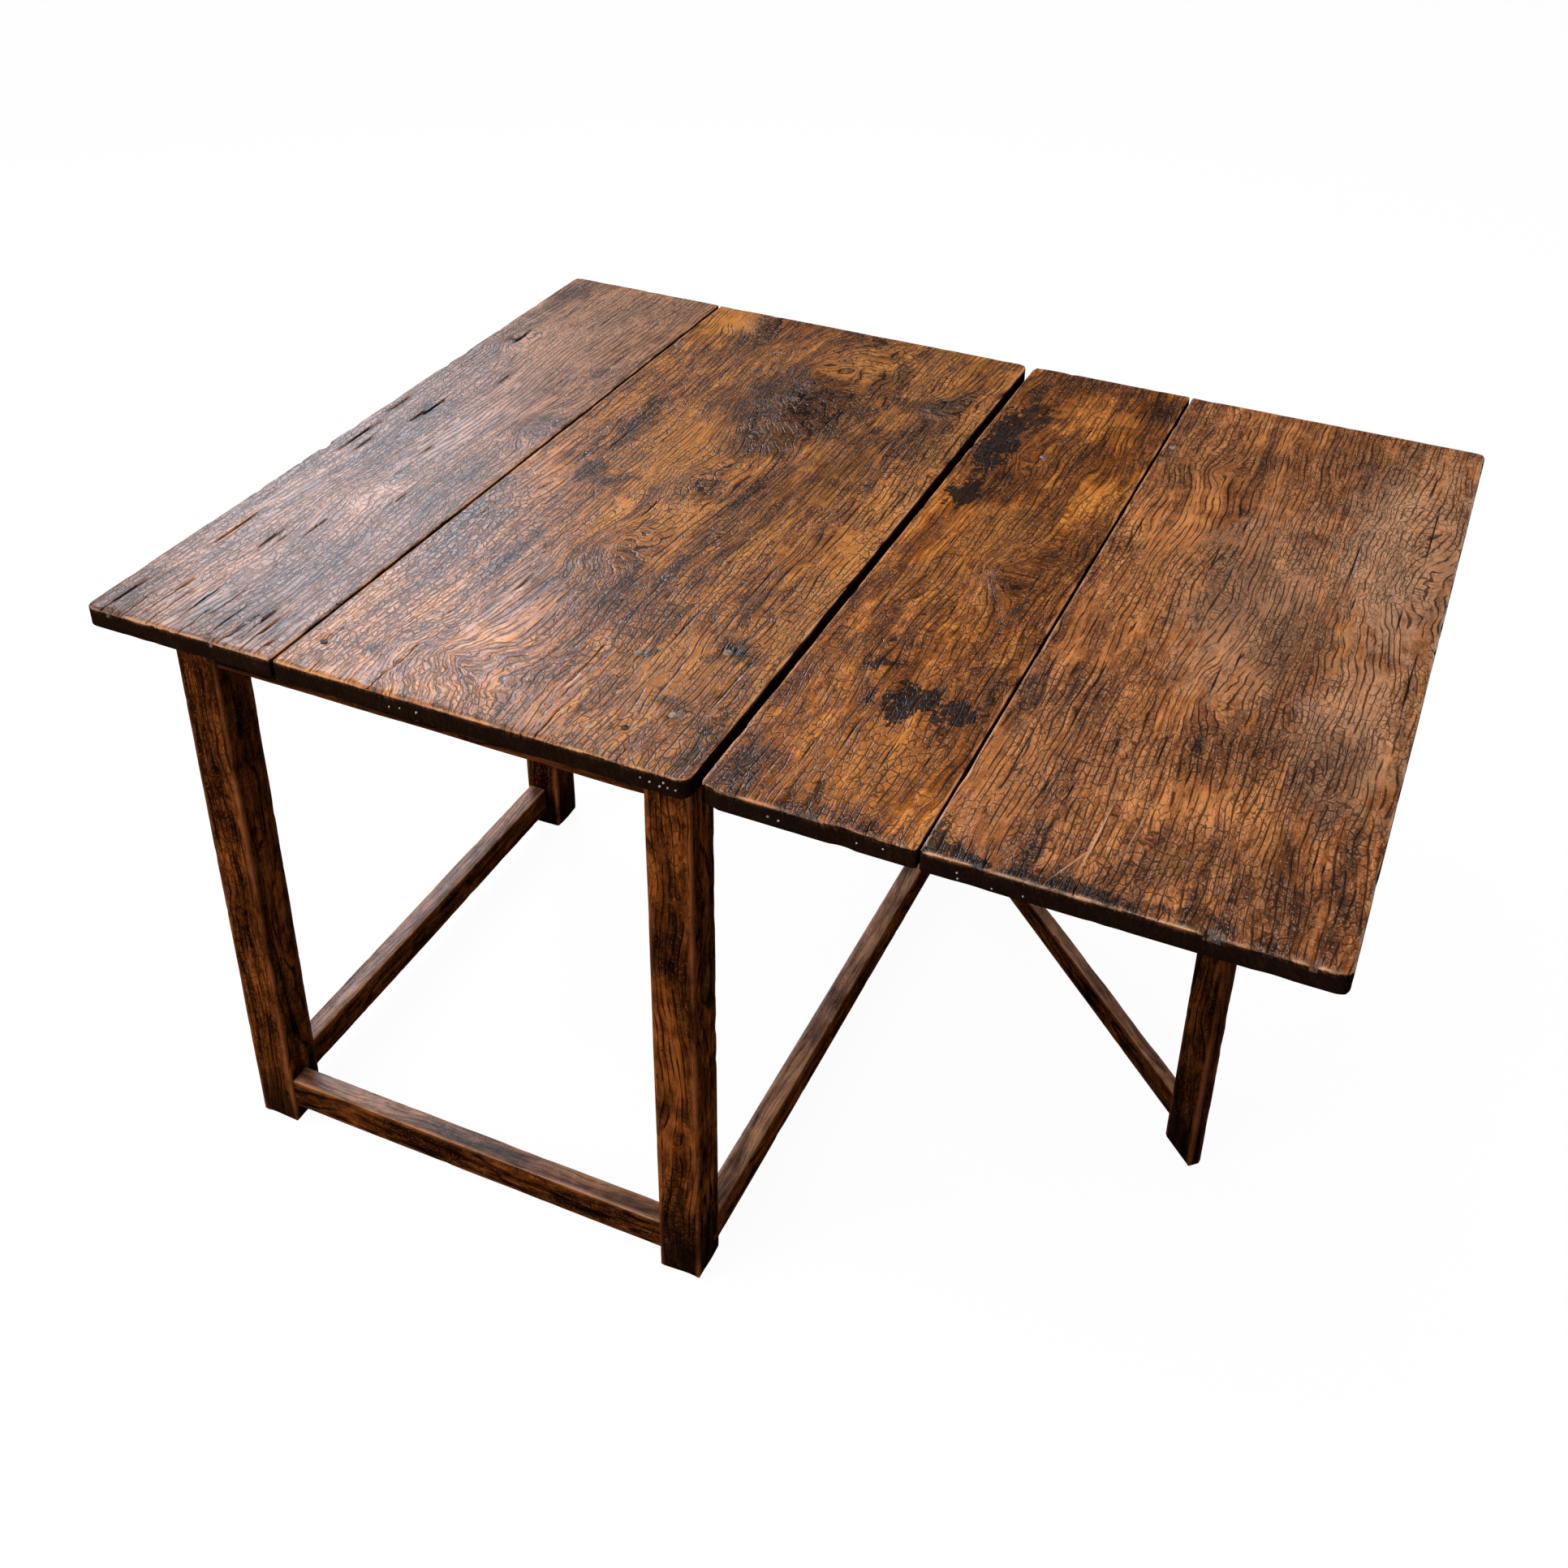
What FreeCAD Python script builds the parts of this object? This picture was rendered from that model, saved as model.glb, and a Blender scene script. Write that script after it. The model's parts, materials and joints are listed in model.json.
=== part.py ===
"""Gateleg side table.

A fixed top of two boards is nailed to a frame of square legs, rails and low stretchers.
A leaf of two boards hangs on strap hinges along the right edge of the fixed top.
A flat framed gate, hung on the back right leg, swings out to carry the leaf.
X runs to the right, Y to the back and Z up. The origin is on the floor under the middle of the open top.
"""
import FreeCAD
import Part
import Sketcher
import os
import re

SIZES = (
    ("top_height", 720, "floor to the upper face of the top"),
    ("top_length", 968, "boards, front to back"),
    ("board_thickness", 22, "all four boards"),
    ("narrow_board", 227, "width of the left board of the fixed top"),
    ("wide_board", 444, "width of the right board of the fixed top"),
    ("main_joint", 1, "open joint between the two fixed boards"),
    ("leaf_gap", 11, "slot between the fixed top and the leaf"),
    ("inner_board", 203, "width of the leaf board next to the slot"),
    ("outer_board", 356, "width of the outer leaf board"),
    ("leaf_joint", 4, "open joint between the two leaf boards"),
    ("corner_radius", 12, "worn outer corners, seen from above"),
    ("arris_radius", 3, "worn upper edges of the boards"),
    ("left_overhang", 75, "top past the left legs"),
    ("right_overhang", 14, "top past the right legs"),
    ("front_overhang", 34, "top past the front legs"),
    ("left_back_overhang", 281, "top past the back left leg"),
    ("right_back_overhang", 130, "top past the back right leg"),
    ("leg_size", 49, "square of the legs"),
    ("leg_ease", 3, "chamfer along the legs"),
    ("foot_ease", 5, "chamfer round the feet"),
    ("bar_thickness", 26, "rails and stretchers"),
    ("bar_ease", 2, "chamfer along rails and stretchers"),
    ("frame_setback", 3, "rails and stretchers behind the outer leg faces"),
    ("rail_height", 40, "rails under the top"),
    ("stretcher_height", 41, "stretchers near the floor"),
    ("front_stretcher_bottom", 32, "front stretcher above the floor"),
    ("left_stretcher_bottom", 29, "left stretcher above the floor"),
    ("right_stretcher_bottom", 16, "right stretcher above the floor"),
    ("bearer_inset", 100, "left end of the back bearer from the edge of the top"),
    ("tenon_length", 22, "frame tenons"),
    ("tenon_thickness", 9, "frame tenons"),
    ("tenon_shoulder", 5, "shoulder above and below each tenon"),
    ("tenon_play", 0.15, "clearance round each tenon"),
    ("peg_diameter", 8, "frame pegs"),
    ("peg_length", 30, "frame pegs"),
    ("peg_proud", 0.8, "peg ends past the wood"),
    ("peg_play", 0.05, "clearance round each peg, as a radius"),
    ("nail_shank", 3.2, "nail diameter"),
    ("nail_head", 7, "nail head diameter"),
    ("nail_head_height", 1.2, "nail heads lie flush in the wood"),
    ("nail_play", 0.05, "clearance round each nail, as a radius"),
    ("top_nail_length", 44, "nails through the boards"),
    ("nail_inset", 25, "nails from the edges of the boards and legs"),
    ("strap_length", 140, "leaf hinge straps"),
    ("strap_width", 30, "leaf hinge straps"),
    ("strap_thickness", 2.4, "leaf hinge straps, let in flush"),
    ("strap_play", 0.2, "clearance round each strap in its recess"),
    ("strap_clip", 6, "clipped corners at the ends of the straps"),
    ("strap_nail_inset", 16, "first and last nail of a strap from the wood edge and the end"),
    ("hinge_nail_length", 16, "nails of all the hinges"),
    ("leaf_knuckle_radius", 4.5, "leaf hinge knuckles"),
    ("leaf_pin_radius", 2.2, "leaf hinge pins"),
    ("pin_play", 0.05, "running fit of both kinds of pin, as a radius"),
    ("pin_head", 7, "pin head diameter"),
    ("pin_head_height", 1.5, "pin heads"),
    ("knuckle_gap", 0.4, "side play between knuckles"),
    ("front_hinge_inset", 150, "middle of the front leaf hinge from the front edge"),
    ("back_hinge_inset", 168, "middle of the back leaf hinge from the back edge"),
    ("batten_width", 50, "leaf battens"),
    ("batten_thickness", 24, "leaf battens"),
    ("batten_end_inset", 35, "battens from the ends of the leaf"),
    ("batten_side_inset", 30, "batten ends from the sides of the leaf"),
    ("gate_angle", 46, "gate as it stands, from folded"),
    ("gate_length", 624, "hinge line to the outer edge of the gate leg"),
    ("gate_thickness", 18, "all gate members"),
    ("gate_gap", 3, "folded gate to the leg faces"),
    ("gate_leg_width", 52, "gate leg"),
    ("gate_stile_width", 50, "hanging stile"),
    ("gate_rail_height", 40, "gate rail under the leaf"),
    ("gate_stretcher_height", 36, "gate stretcher"),
    ("gate_stretcher_bottom", 42, "gate stretcher above the floor"),
    ("gate_ease", 1.5, "chamfer along the gate members"),
    ("stile_bottom", 36, "hanging stile above the floor"),
    ("gate_foot_clear", 0.3, "gate leg above the floor"),
    ("leaf_clear", 0.3, "gate under the leaf"),
    ("gate_tenon_length", 30, "gate tenons"),
    ("gate_tenon_thickness", 6, "gate tenons"),
    ("gate_peg_diameter", 6, "gate pegs"),
    ("axis_setback", 4.5, "gate hinge line behind the back right leg"),
    ("plate_width", 36, "gate hinge plates"),
    ("plate_height", 70, "gate hinge plates"),
    ("plate_thickness", 1.3, "gate hinge plates"),
    ("gate_knuckle_radius", 4, "gate hinge knuckles"),
    ("gate_pin_radius", 2, "gate hinge pins"),
    ("lower_hinge_bottom", 110, "lower gate hinge above the floor"),
    ("upper_hinge_drop", 138, "bottom of the upper gate hinge below the boards"),
)
# Counts of like things on each hinge.
LEAF_KNUCKLES = 3
GATE_KNUCKLES = 5
PLATE_NAILS = 3
PLATE_NAIL_COLUMNS = 2
STRAP_NAILS = 3
# Limits for telling edges and volumes apart.
TOUCHING = 0.01
STRAIGHT = 0.99
NO_VOLUME = 1e-6

# Places shared by several pieces, as expressions of the sizes.
MAIN_WIDTH = "(narrow_board + main_joint + wide_board)"
LEAF_WIDTH = "(inner_board + leaf_joint + outer_board)"
LEFT = f"(-({MAIN_WIDTH} + leaf_gap + {LEAF_WIDTH})/2)"
FRONT = "(-top_length/2)"
UNDERSIDE = "(top_height - board_thickness)"
LEAF_LEFT = f"({LEFT} + {MAIN_WIDTH} + leaf_gap)"
FRAME_LEFT = f"({LEFT} + left_overhang)"
FRAME_RIGHT = f"({LEFT} + {MAIN_WIDTH} - right_overhang)"
FRAME_FRONT = f"({FRONT} + front_overhang)"
LEFT_SIDE_DEPTH = "(top_length - front_overhang - left_back_overhang)"
RIGHT_SIDE_DEPTH = "(top_length - front_overhang - right_back_overhang)"
RAIL_BOTTOM = f"({UNDERSIDE} - rail_height)"
GATE_TOP = f"({UNDERSIDE} - leaf_clear)"
GATE_RAIL_BOTTOM = f"({GATE_TOP} - gate_rail_height)"
LEAF_AXIS_X = f"({LEFT} + {MAIN_WIDTH} + leaf_gap/2)"
LEAF_AXIS_Z = f"({UNDERSIDE} + leaf_knuckle_radius)"
GATE_AXIS_X = f"({FRAME_RIGHT} + gate_gap/2)"
GATE_AXIS_Y = f"({FRAME_FRONT} + {RIGHT_SIDE_DEPTH} + axis_setback)"
GATE_INNER = "(gate_gap/2)"
UPPER_HINGE_BOTTOM = f"({UNDERSIDE} - upper_hinge_drop)"

# Sizes of the two kinds of pegged tenon.
FRAME_TENON = {"length": "tenon_length", "thickness": "tenon_thickness", "peg": "peg_diameter"}
GATE_TENON = {
    "length": "gate_tenon_length",
    "thickness": "gate_tenon_thickness",
    "peg": "gate_peg_diameter",
}

# Bottom and height of each kind of bar that meets the legs.
BARS = {
    "rail": (RAIL_BOTTOM, "rail_height"),
    "front_stretcher": ("front_stretcher_bottom", "stretcher_height"),
    "left_stretcher": ("left_stretcher_bottom", "stretcher_height"),
    "right_stretcher": ("right_stretcher_bottom", "stretcher_height"),
}

# Each leg: its left and front faces, then its joints as the face entered, the bar, and the
# side of the leg that the bar keeps to (low is left or front, high is right or back).
LEGS = {
    "leg_front_left": (FRAME_LEFT, FRAME_FRONT, (
        ("right", "rail", "low"), ("back", "rail", "low"),
        ("right", "front_stretcher", "low"), ("back", "left_stretcher", "low"))),
    "leg_front_right": (f"({FRAME_RIGHT} - leg_size)", FRAME_FRONT, (
        ("left", "rail", "low"), ("back", "rail", "high"),
        ("left", "front_stretcher", "low"), ("back", "right_stretcher", "high"))),
    "leg_back_left": (FRAME_LEFT, f"({FRAME_FRONT} + {LEFT_SIDE_DEPTH} - leg_size)", (
        ("front", "rail", "low"), ("right", "rail", "high"), ("front", "left_stretcher", "low"))),
    "leg_back_right": (f"({FRAME_RIGHT} - leg_size)",
                       f"({FRAME_FRONT} + {RIGHT_SIDE_DEPTH} - leg_size)", (
        ("front", "rail", "high"), ("left", "rail", "high"), ("front", "right_stretcher", "high"))),
}

GATE_HINGES = {"lower": "lower_hinge_bottom", "upper": UPPER_HINGE_BOTTOM}
HINGE_MIDDLES = {"front": "front_hinge_inset", "back": "(top_length - back_hinge_inset)"}

doc = FreeCAD.newDocument("gateleg_side_table")
sheet = doc.addObject("Spreadsheet::Sheet", "Sizes")
sub_parts = []


def fill_sheet():
    for row, (alias, value, note) in enumerate(SIZES, start=1):
        sheet.set(f"A{row}", alias)
        sheet.set(f"B{row}", str(value))
        sheet.set(f"C{row}", note)
        sheet.setAlias(f"B{row}", alias)
    doc.recompute()


def bound(text):
    """An expression of size names, as the document reads it."""
    return re.sub(r"[a-z][a-z_]*", lambda word: "Sizes." + word.group(), text)


def number(text):
    return float(sheet.evalExpression(bound(text)))


def place(item, x, y, z, turn="0"):
    """Moves an object to x, y, z and turns it about a vertical line."""
    for axis, text in zip("xyz", (x, y, z)):
        item.setExpression(f"Placement.Base.{axis}", bound(text))
    item.setExpression("Placement.Rotation.Angle", bound(turn))


def new_body(label, x, y, z, turn="0"):
    body = doc.addObject("PartDesign::Body", label)
    body.Label = label
    place(body, x, y, z, turn)
    sub_parts.append(body)
    return body


def sketch_on(body, role, offset):
    """An empty sketch on one of the body's own planes, moved along the plane's normal."""
    plane = next(item for item in body.Origin.OriginFeatures if item.Role == role)
    sketch = body.newObject("Sketcher::SketchObject", body.Name + "_sketch")
    sketch.AttachmentSupport = [(plane, "")]
    sketch.MapMode = "FlatFace"
    sketch.setExpression("AttachmentOffset.Base.z", bound(offset))
    return sketch


def pin_point(sketch, geometry, point, kind, text):
    """Ties one coordinate of a sketch point to an expression."""
    if number(text) == 0:
        axis = -2 if kind == "DistanceX" else -1
        sketch.addConstraint(Sketcher.Constraint("PointOnObject", geometry, point, axis))
        return
    index = sketch.addConstraint(Sketcher.Constraint(kind, -1, 1, geometry, point, number(text)))
    sketch.setExpression(f"Constraints[{index}]", bound(text))


def add_rectangle(sketch, left, right, low, high):
    x0, x1, y0, y1 = (number(text) for text in (left, right, low, high))
    corners = [FreeCAD.Vector(x, y, 0) for x, y in ((x0, y0), (x1, y0), (x1, y1), (x0, y1))]
    first = sketch.GeometryCount
    for index in range(4):
        sketch.addGeometry(Part.LineSegment(corners[index], corners[(index + 1) % 4]))
    for index in range(4):
        following = first + (index + 1) % 4
        sketch.addConstraint(Sketcher.Constraint("Coincident", first + index, 2, following, 1))
        direction = "Horizontal" if index % 2 == 0 else "Vertical"
        sketch.addConstraint(Sketcher.Constraint(direction, first + index))
    pin_point(sketch, first, 1, "DistanceX", left)
    pin_point(sketch, first, 1, "DistanceY", low)
    pin_point(sketch, first + 2, 1, "DistanceX", right)
    pin_point(sketch, first + 2, 1, "DistanceY", high)


def add_circle(sketch, across, up, radius):
    centre = FreeCAD.Vector(number(across), number(up), 0)
    index = sketch.addGeometry(Part.Circle(centre, FreeCAD.Vector(0, 0, 1), number(radius)))
    pin_point(sketch, index, 3, "DistanceX", across)
    pin_point(sketch, index, 3, "DistanceY", up)
    constraint = sketch.addConstraint(Sketcher.Constraint("Radius", index, number(radius)))
    sketch.setExpression(f"Constraints[{constraint}]", bound(radius))


def extrude(body, kind, sketch, length):
    feature = body.newObject(f"PartDesign::{kind}", f"{body.Name}_{kind}")
    feature.Profile = sketch
    feature.setExpression("Length", bound(length))
    return feature


def add_block(body, x, y, z):
    """Adds a box. Each of x, y and z is a pair of expressions, from and to."""
    sketch = sketch_on(body, "XY_Plane", z[0])
    add_rectangle(sketch, *x, *y)
    extrude(body, "Pad", sketch, f"({z[1]}) - ({z[0]})")


def cut_block(body, x, y, z):
    sketch = sketch_on(body, "XY_Plane", z[1])
    add_rectangle(sketch, *x, *y)
    extrude(body, "Pocket", sketch, f"({z[1]}) - ({z[0]})")


def add_round(body, axis, span, radius, centre):
    """Adds a cylinder along Y or Z over a pair of expressions, with its centre in the other axes."""
    role, offset = {
        "y": ("XZ_Plane", f"-({span[1]})"),
        "z": ("XY_Plane", span[0]),
    }[axis]
    sketch = sketch_on(body, role, offset)
    add_circle(sketch, *centre, radius)
    extrude(body, "Pad", sketch, f"({span[1]}) - ({span[0]})")


def cut_rounds(body, axis, start, length, radius, centres):
    """Cuts round holes along one axis, from start over length, with centres in the two other axes."""
    role, offset = {
        "x": ("YZ_Plane", f"({start}) + ({length})"),
        "y": ("XZ_Plane", f"-({start})"),
        "z": ("XY_Plane", f"({start}) + ({length})"),
    }[axis]
    sketch = sketch_on(body, role, offset)
    for centre in centres:
        add_circle(sketch, *centre, radius)
    extrude(body, "Pocket", sketch, length)


def ease(body, kind, size, wanted):
    """Fillets or chamfers the edges of the body that the test accepts."""
    doc.recompute()
    base = body.Tip
    edges = [f"Edge{i}" for i, edge in enumerate(base.Shape.Edges, start=1) if wanted(edge)]
    feature = body.newObject(f"PartDesign::{kind}", f"{body.Name}_{kind}")
    feature.Base = (base, edges)
    feature.setExpression("Radius" if kind == "Fillet" else "Size", bound(size))


def runs_along(edge, axis):
    box = edge.BoundBox
    spans = {"x": box.XLength, "y": box.YLength, "z": box.ZLength}
    return spans[axis] > STRAIGHT * edge.Length


def bore(diameter):
    return f"{diameter}/2 + peg_play"


def nail_holes(body, surface, depth, points):
    """Holes for nails driven down from a surface, with a sink for each head."""
    cut_rounds(body, "z", f"{surface} - ({depth})", depth, "nail_shank/2 + nail_play", points)
    sink = "(nail_head_height + nail_play)"
    cut_rounds(body, "z", f"{surface} - {sink}", sink, "nail_head/2 + nail_play", points)


def stud(group, point, turn, shank, head, head_height, length):
    """One nail or pin: a round shank with a round head, its head at the given point."""
    rod = doc.addObject("Part::Cylinder", group + "_shank")
    rod.setExpression("Radius", bound(shank))
    rod.setExpression("Height", bound(length))
    disc = doc.addObject("Part::Cylinder", group + "_head")
    disc.setExpression("Radius", bound(head))
    disc.setExpression("Height", bound(head_height))
    whole = doc.addObject("Part::MultiFuse", group + "_stud")
    whole.Shapes = [rod, disc]
    whole.Placement = FreeCAD.Placement(FreeCAD.Vector(), turn)
    for axis, text in zip("xyz", point):
        whole.setExpression(f"Placement.Base.{axis}", bound(text))
    return whole


def nail(group, point, turn, length):
    return stud(group, point, turn, "nail_shank/2", "nail_head/2", "nail_head_height", length)


def peg(group, point, turn, diameter, length):
    rod = doc.addObject("Part::Cylinder", group + "_peg")
    rod.setExpression("Radius", bound(f"{diameter}/2"))
    rod.setExpression("Height", bound(length))
    rod.Placement = FreeCAD.Placement(FreeCAD.Vector(), turn)
    for axis, text in zip("xyz", point):
        rod.setExpression(f"Placement.Base.{axis}", bound(text))
    return rod


def gather(label, items, x="0", y="0", z="0", turn="0"):
    """Puts like fasteners into one sub-part."""
    group = doc.addObject("Part::Compound", label)
    group.Label = label
    group.Links = items
    place(group, x, y, z, turn)
    sub_parts.append(group)


TO_X = FreeCAD.Rotation(FreeCAD.Vector(0, 1, 0), 90)
TO_MINUS_X = FreeCAD.Rotation(FreeCAD.Vector(0, 1, 0), -90)
TO_Y = FreeCAD.Rotation(FreeCAD.Vector(1, 0, 0), -90)
UP = FreeCAD.Rotation()
DOWN = FreeCAD.Rotation(FreeCAD.Vector(1, 0, 0), 180)


def along_strap(index):
    """Place of one strap nail, from the hinge line."""
    step = f"(strap_length - leaf_gap/2 - 2*strap_nail_inset)/{STRAP_NAILS - 1}"
    return f"(leaf_gap/2 + strap_nail_inset + {index}*{step})"


def strap_recesses(body, edge, hinge_line, sign):
    """Shallow recesses and nail holes in the underside of a board for the straps of both hinges."""
    end = f"{hinge_line} {sign} (strap_length + strap_play)"
    across = (end, edge) if sign == "-" else (edge, end)
    reach = "(strap_width/2 + strap_play)"
    for middle in HINGE_MIDDLES.values():
        span = (f"{middle} - {reach}", f"{middle} + {reach}")
        cut_block(body, across, span, ("0", "strap_thickness + strap_play"))
        spots = [(f"{hinge_line} {sign} {along_strap(i)}", middle) for i in range(STRAP_NAILS)]
        cut_rounds(body, "z", "0", "hinge_nail_length + nail_play", "nail_shank/2 + nail_play", spots)


def board(label, x, width, worn_side, nails):
    """A board with worn corners on one side and nail holes from above."""
    body = new_body(label, x, FRONT, UNDERSIDE)
    add_block(body, ("0", width), ("0", "top_length"), ("0", "board_thickness"))
    middle = number(width) / 2

    def worn_corner(edge):
        side = edge.BoundBox.XMax
        on_worn_side = side < middle if worn_side == "left" else side > middle
        return runs_along(edge, "z") and on_worn_side

    ease(body, "Fillet", "corner_radius", worn_corner)
    upper_face = number("board_thickness")
    ease(body, "Fillet", "arris_radius", lambda edge: edge.BoundBox.ZMin > upper_face - TOUCHING)
    nail_holes(body, "board_thickness", "board_thickness", nails)
    return body


def bar(label, run, height, thickness, tenon, at, start=("0", "0", "0"), ends=("first", "last")):
    """A rail or stretcher along its own X, with a pegged tenon at each named end."""
    body = new_body(label, *at)
    x, y, z = start
    first = f"{x} + {tenon['length']}"
    last = f"{first} + ({run})"
    add_block(body, (first, last), (y, f"{y} + {thickness}"), (z, f"{z} + {height}"))
    ease_size = "bar_ease" if tenon is FRAME_TENON else "gate_ease"
    ease(body, "Chamfer", ease_size, lambda edge: runs_along(edge, "x"))
    cheek = f"{y} + ({thickness} - {tenon['thickness']})/2"
    reach = (x if "first" in ends else first, f"{last} + {tenon['length']}" if "last" in ends else last)
    add_block(body, reach, (cheek, f"{cheek} + {tenon['thickness']}"),
              (f"{z} + tenon_shoulder", f"{z} + {height} - tenon_shoulder"))
    level = f"{z} + ({height})/2"
    spots = {"first": f"{x} + {tenon['length']}/2", "last": f"{last} + {tenon['length']}/2"}
    cut_rounds(body, "y", y, thickness, bore(tenon["peg"]), [(spots[end], level) for end in ends])
    return body


def mortise(body, x, y, low, high):
    """A pocket for a tenon, whose cheeks and top and bottom are given without their clearance."""
    play = "tenon_play"
    cut_block(body, x, y, (f"{low} - {play}", f"{high} + {play}"))


def leg_joint(face, bar_name, keeps):
    """Places of one joint in a leg: the tenon's box and the peg's centre and start."""
    bottom, height = BARS[bar_name]
    offset = "frame_setback + (bar_thickness - tenon_thickness)/2"
    if keeps == "high":
        offset = f"leg_size - tenon_thickness - ({offset})"
    cheeks = (f"{offset} - tenon_play", f"{offset} + tenon_thickness + tenon_play")
    if face in ("right", "back"):
        depth = ("leg_size - tenon_length - tenon_play", "leg_size")
        peg_centre = "leg_size - tenon_length/2"
    else:
        depth = ("0", "tenon_length + tenon_play")
        peg_centre = "tenon_length/2"
    peg_start = "-peg_proud" if keeps == "low" else "leg_size - peg_length + peg_proud"
    levels = (f"{bottom} + tenon_shoulder", f"{bottom} + {height} - tenon_shoulder")
    return depth, cheeks, levels, peg_centre, f"{bottom} + {height}/2", peg_start


def plate_spot(index):
    """Place of one nail in a gate hinge plate: from the hinge line, and up from the plate's bottom."""
    column = 1 + index % PLATE_NAIL_COLUMNS
    out = f"(axis_setback + {column}*plate_width/{PLATE_NAIL_COLUMNS + 1})"
    return out, f"({2*index + 1}*plate_height/{2*PLATE_NAILS})"


def plate_nail_holes_in_leg(body):
    depth = "(hinge_nail_length - plate_thickness + nail_play)"
    spots = []
    for bottom in GATE_HINGES.values():
        for index in range(PLATE_NAILS):
            out, up = plate_spot(index)
            spots.append((f"leg_size + axis_setback - {out}", f"{bottom} + {up}"))
    cut_rounds(body, "x", f"leg_size - {depth}", depth, "nail_shank/2 + nail_play", spots)


def make_legs():
    pegs = []
    for label, (x, y, joints) in LEGS.items():
        body = new_body(label, x, y, "0")
        add_block(body, ("0", "leg_size"), ("0", "leg_size"), ("0", UNDERSIDE))
        ease(body, "Chamfer", "leg_ease", lambda edge: runs_along(edge, "z"))
        ease(body, "Chamfer", "foot_ease", lambda edge: edge.BoundBox.ZMax < TOUCHING)
        for face, bar_name, keeps in joints:
            depth, cheeks, levels, peg_centre, peg_level, peg_start = leg_joint(face, bar_name, keeps)
            hole = (bore("peg_diameter"), [(peg_centre, peg_level)])
            if face in ("left", "right"):
                mortise(body, depth, cheeks, *levels)
                cut_rounds(body, "y", peg_start, "peg_length", *hole)
                point = (f"{x} + {peg_centre}", f"{y} + {peg_start}", peg_level)
                pegs.append(peg("frame_pegs", point, TO_Y, "peg_diameter", "peg_length"))
            else:
                mortise(body, cheeks, depth, *levels)
                cut_rounds(body, "x", peg_start, "peg_length", *hole)
                point = (f"{x} + {peg_start}", f"{y} + {peg_centre}", peg_level)
                pegs.append(peg("frame_pegs", point, TO_X, "peg_diameter", "peg_length"))
        if label == "leg_back_right":
            plate_nail_holes_in_leg(body)
    gather("frame_pegs", pegs)


# Lines of nails through the fixed top, from its front edge: front rail, back rail and back bearer.
BAR_MIDDLE = "(frame_setback + bar_thickness/2)"
TOP_NAIL_LINES = (
    f"front_overhang + {BAR_MIDDLE}",
    f"front_overhang + {LEFT_SIDE_DEPTH} - {BAR_MIDDLE}",
    f"front_overhang + {RIGHT_SIDE_DEPTH} - {BAR_MIDDLE}",
)
# Nails across the fixed top, from its left edge, first on the narrow board and then on the wide one.
NARROW_NAILS = ("left_overhang + leg_size + nail_inset", "narrow_board - nail_inset")
WIDE_START = "(narrow_board + main_joint)"
WIDE_NAILS = (
    f"{WIDE_START} + nail_inset",
    f"{WIDE_START} + wide_board/2",
    f"{MAIN_WIDTH} - right_overhang - leg_size - nail_inset",
)


def make_fixed_top():
    narrow_holes = [(x, y) for x in NARROW_NAILS for y in TOP_NAIL_LINES]
    board("top_board_narrow", LEFT, "narrow_board", "left", narrow_holes)
    wide_holes = [(f"{x} - {WIDE_START}", y) for x in WIDE_NAILS for y in TOP_NAIL_LINES]
    wide = board("top_board_wide", f"{LEFT} + {WIDE_START}", "wide_board", "right", wide_holes)
    strap_recesses(wide, "wide_board", "wide_board + leaf_gap/2", "-")
    points = [(f"{LEFT} + {x}", f"{FRONT} + {y}", "top_height")
              for x in NARROW_NAILS + WIDE_NAILS for y in TOP_NAIL_LINES]
    gather("top_nails", [nail("top_nails", point, DOWN, "top_nail_length") for point in points])


def cross_rail(label, run, left_end, line, ends):
    """A rail across the table, bored for the top nails that reach into it."""
    at = (f"{left_end} - tenon_length", line, RAIL_BOTTOM)
    body = bar(label, run, "rail_height", "bar_thickness", FRAME_TENON, at, ends=ends)
    holes = [(f"{LEFT} + {x} - ({at[0]})", "bar_thickness/2") for x in NARROW_NAILS + WIDE_NAILS]
    depth = "(top_nail_length - board_thickness)"
    cut_rounds(body, "z", f"rail_height - {depth}", depth, "nail_shank/2 + nail_play", holes)


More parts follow.
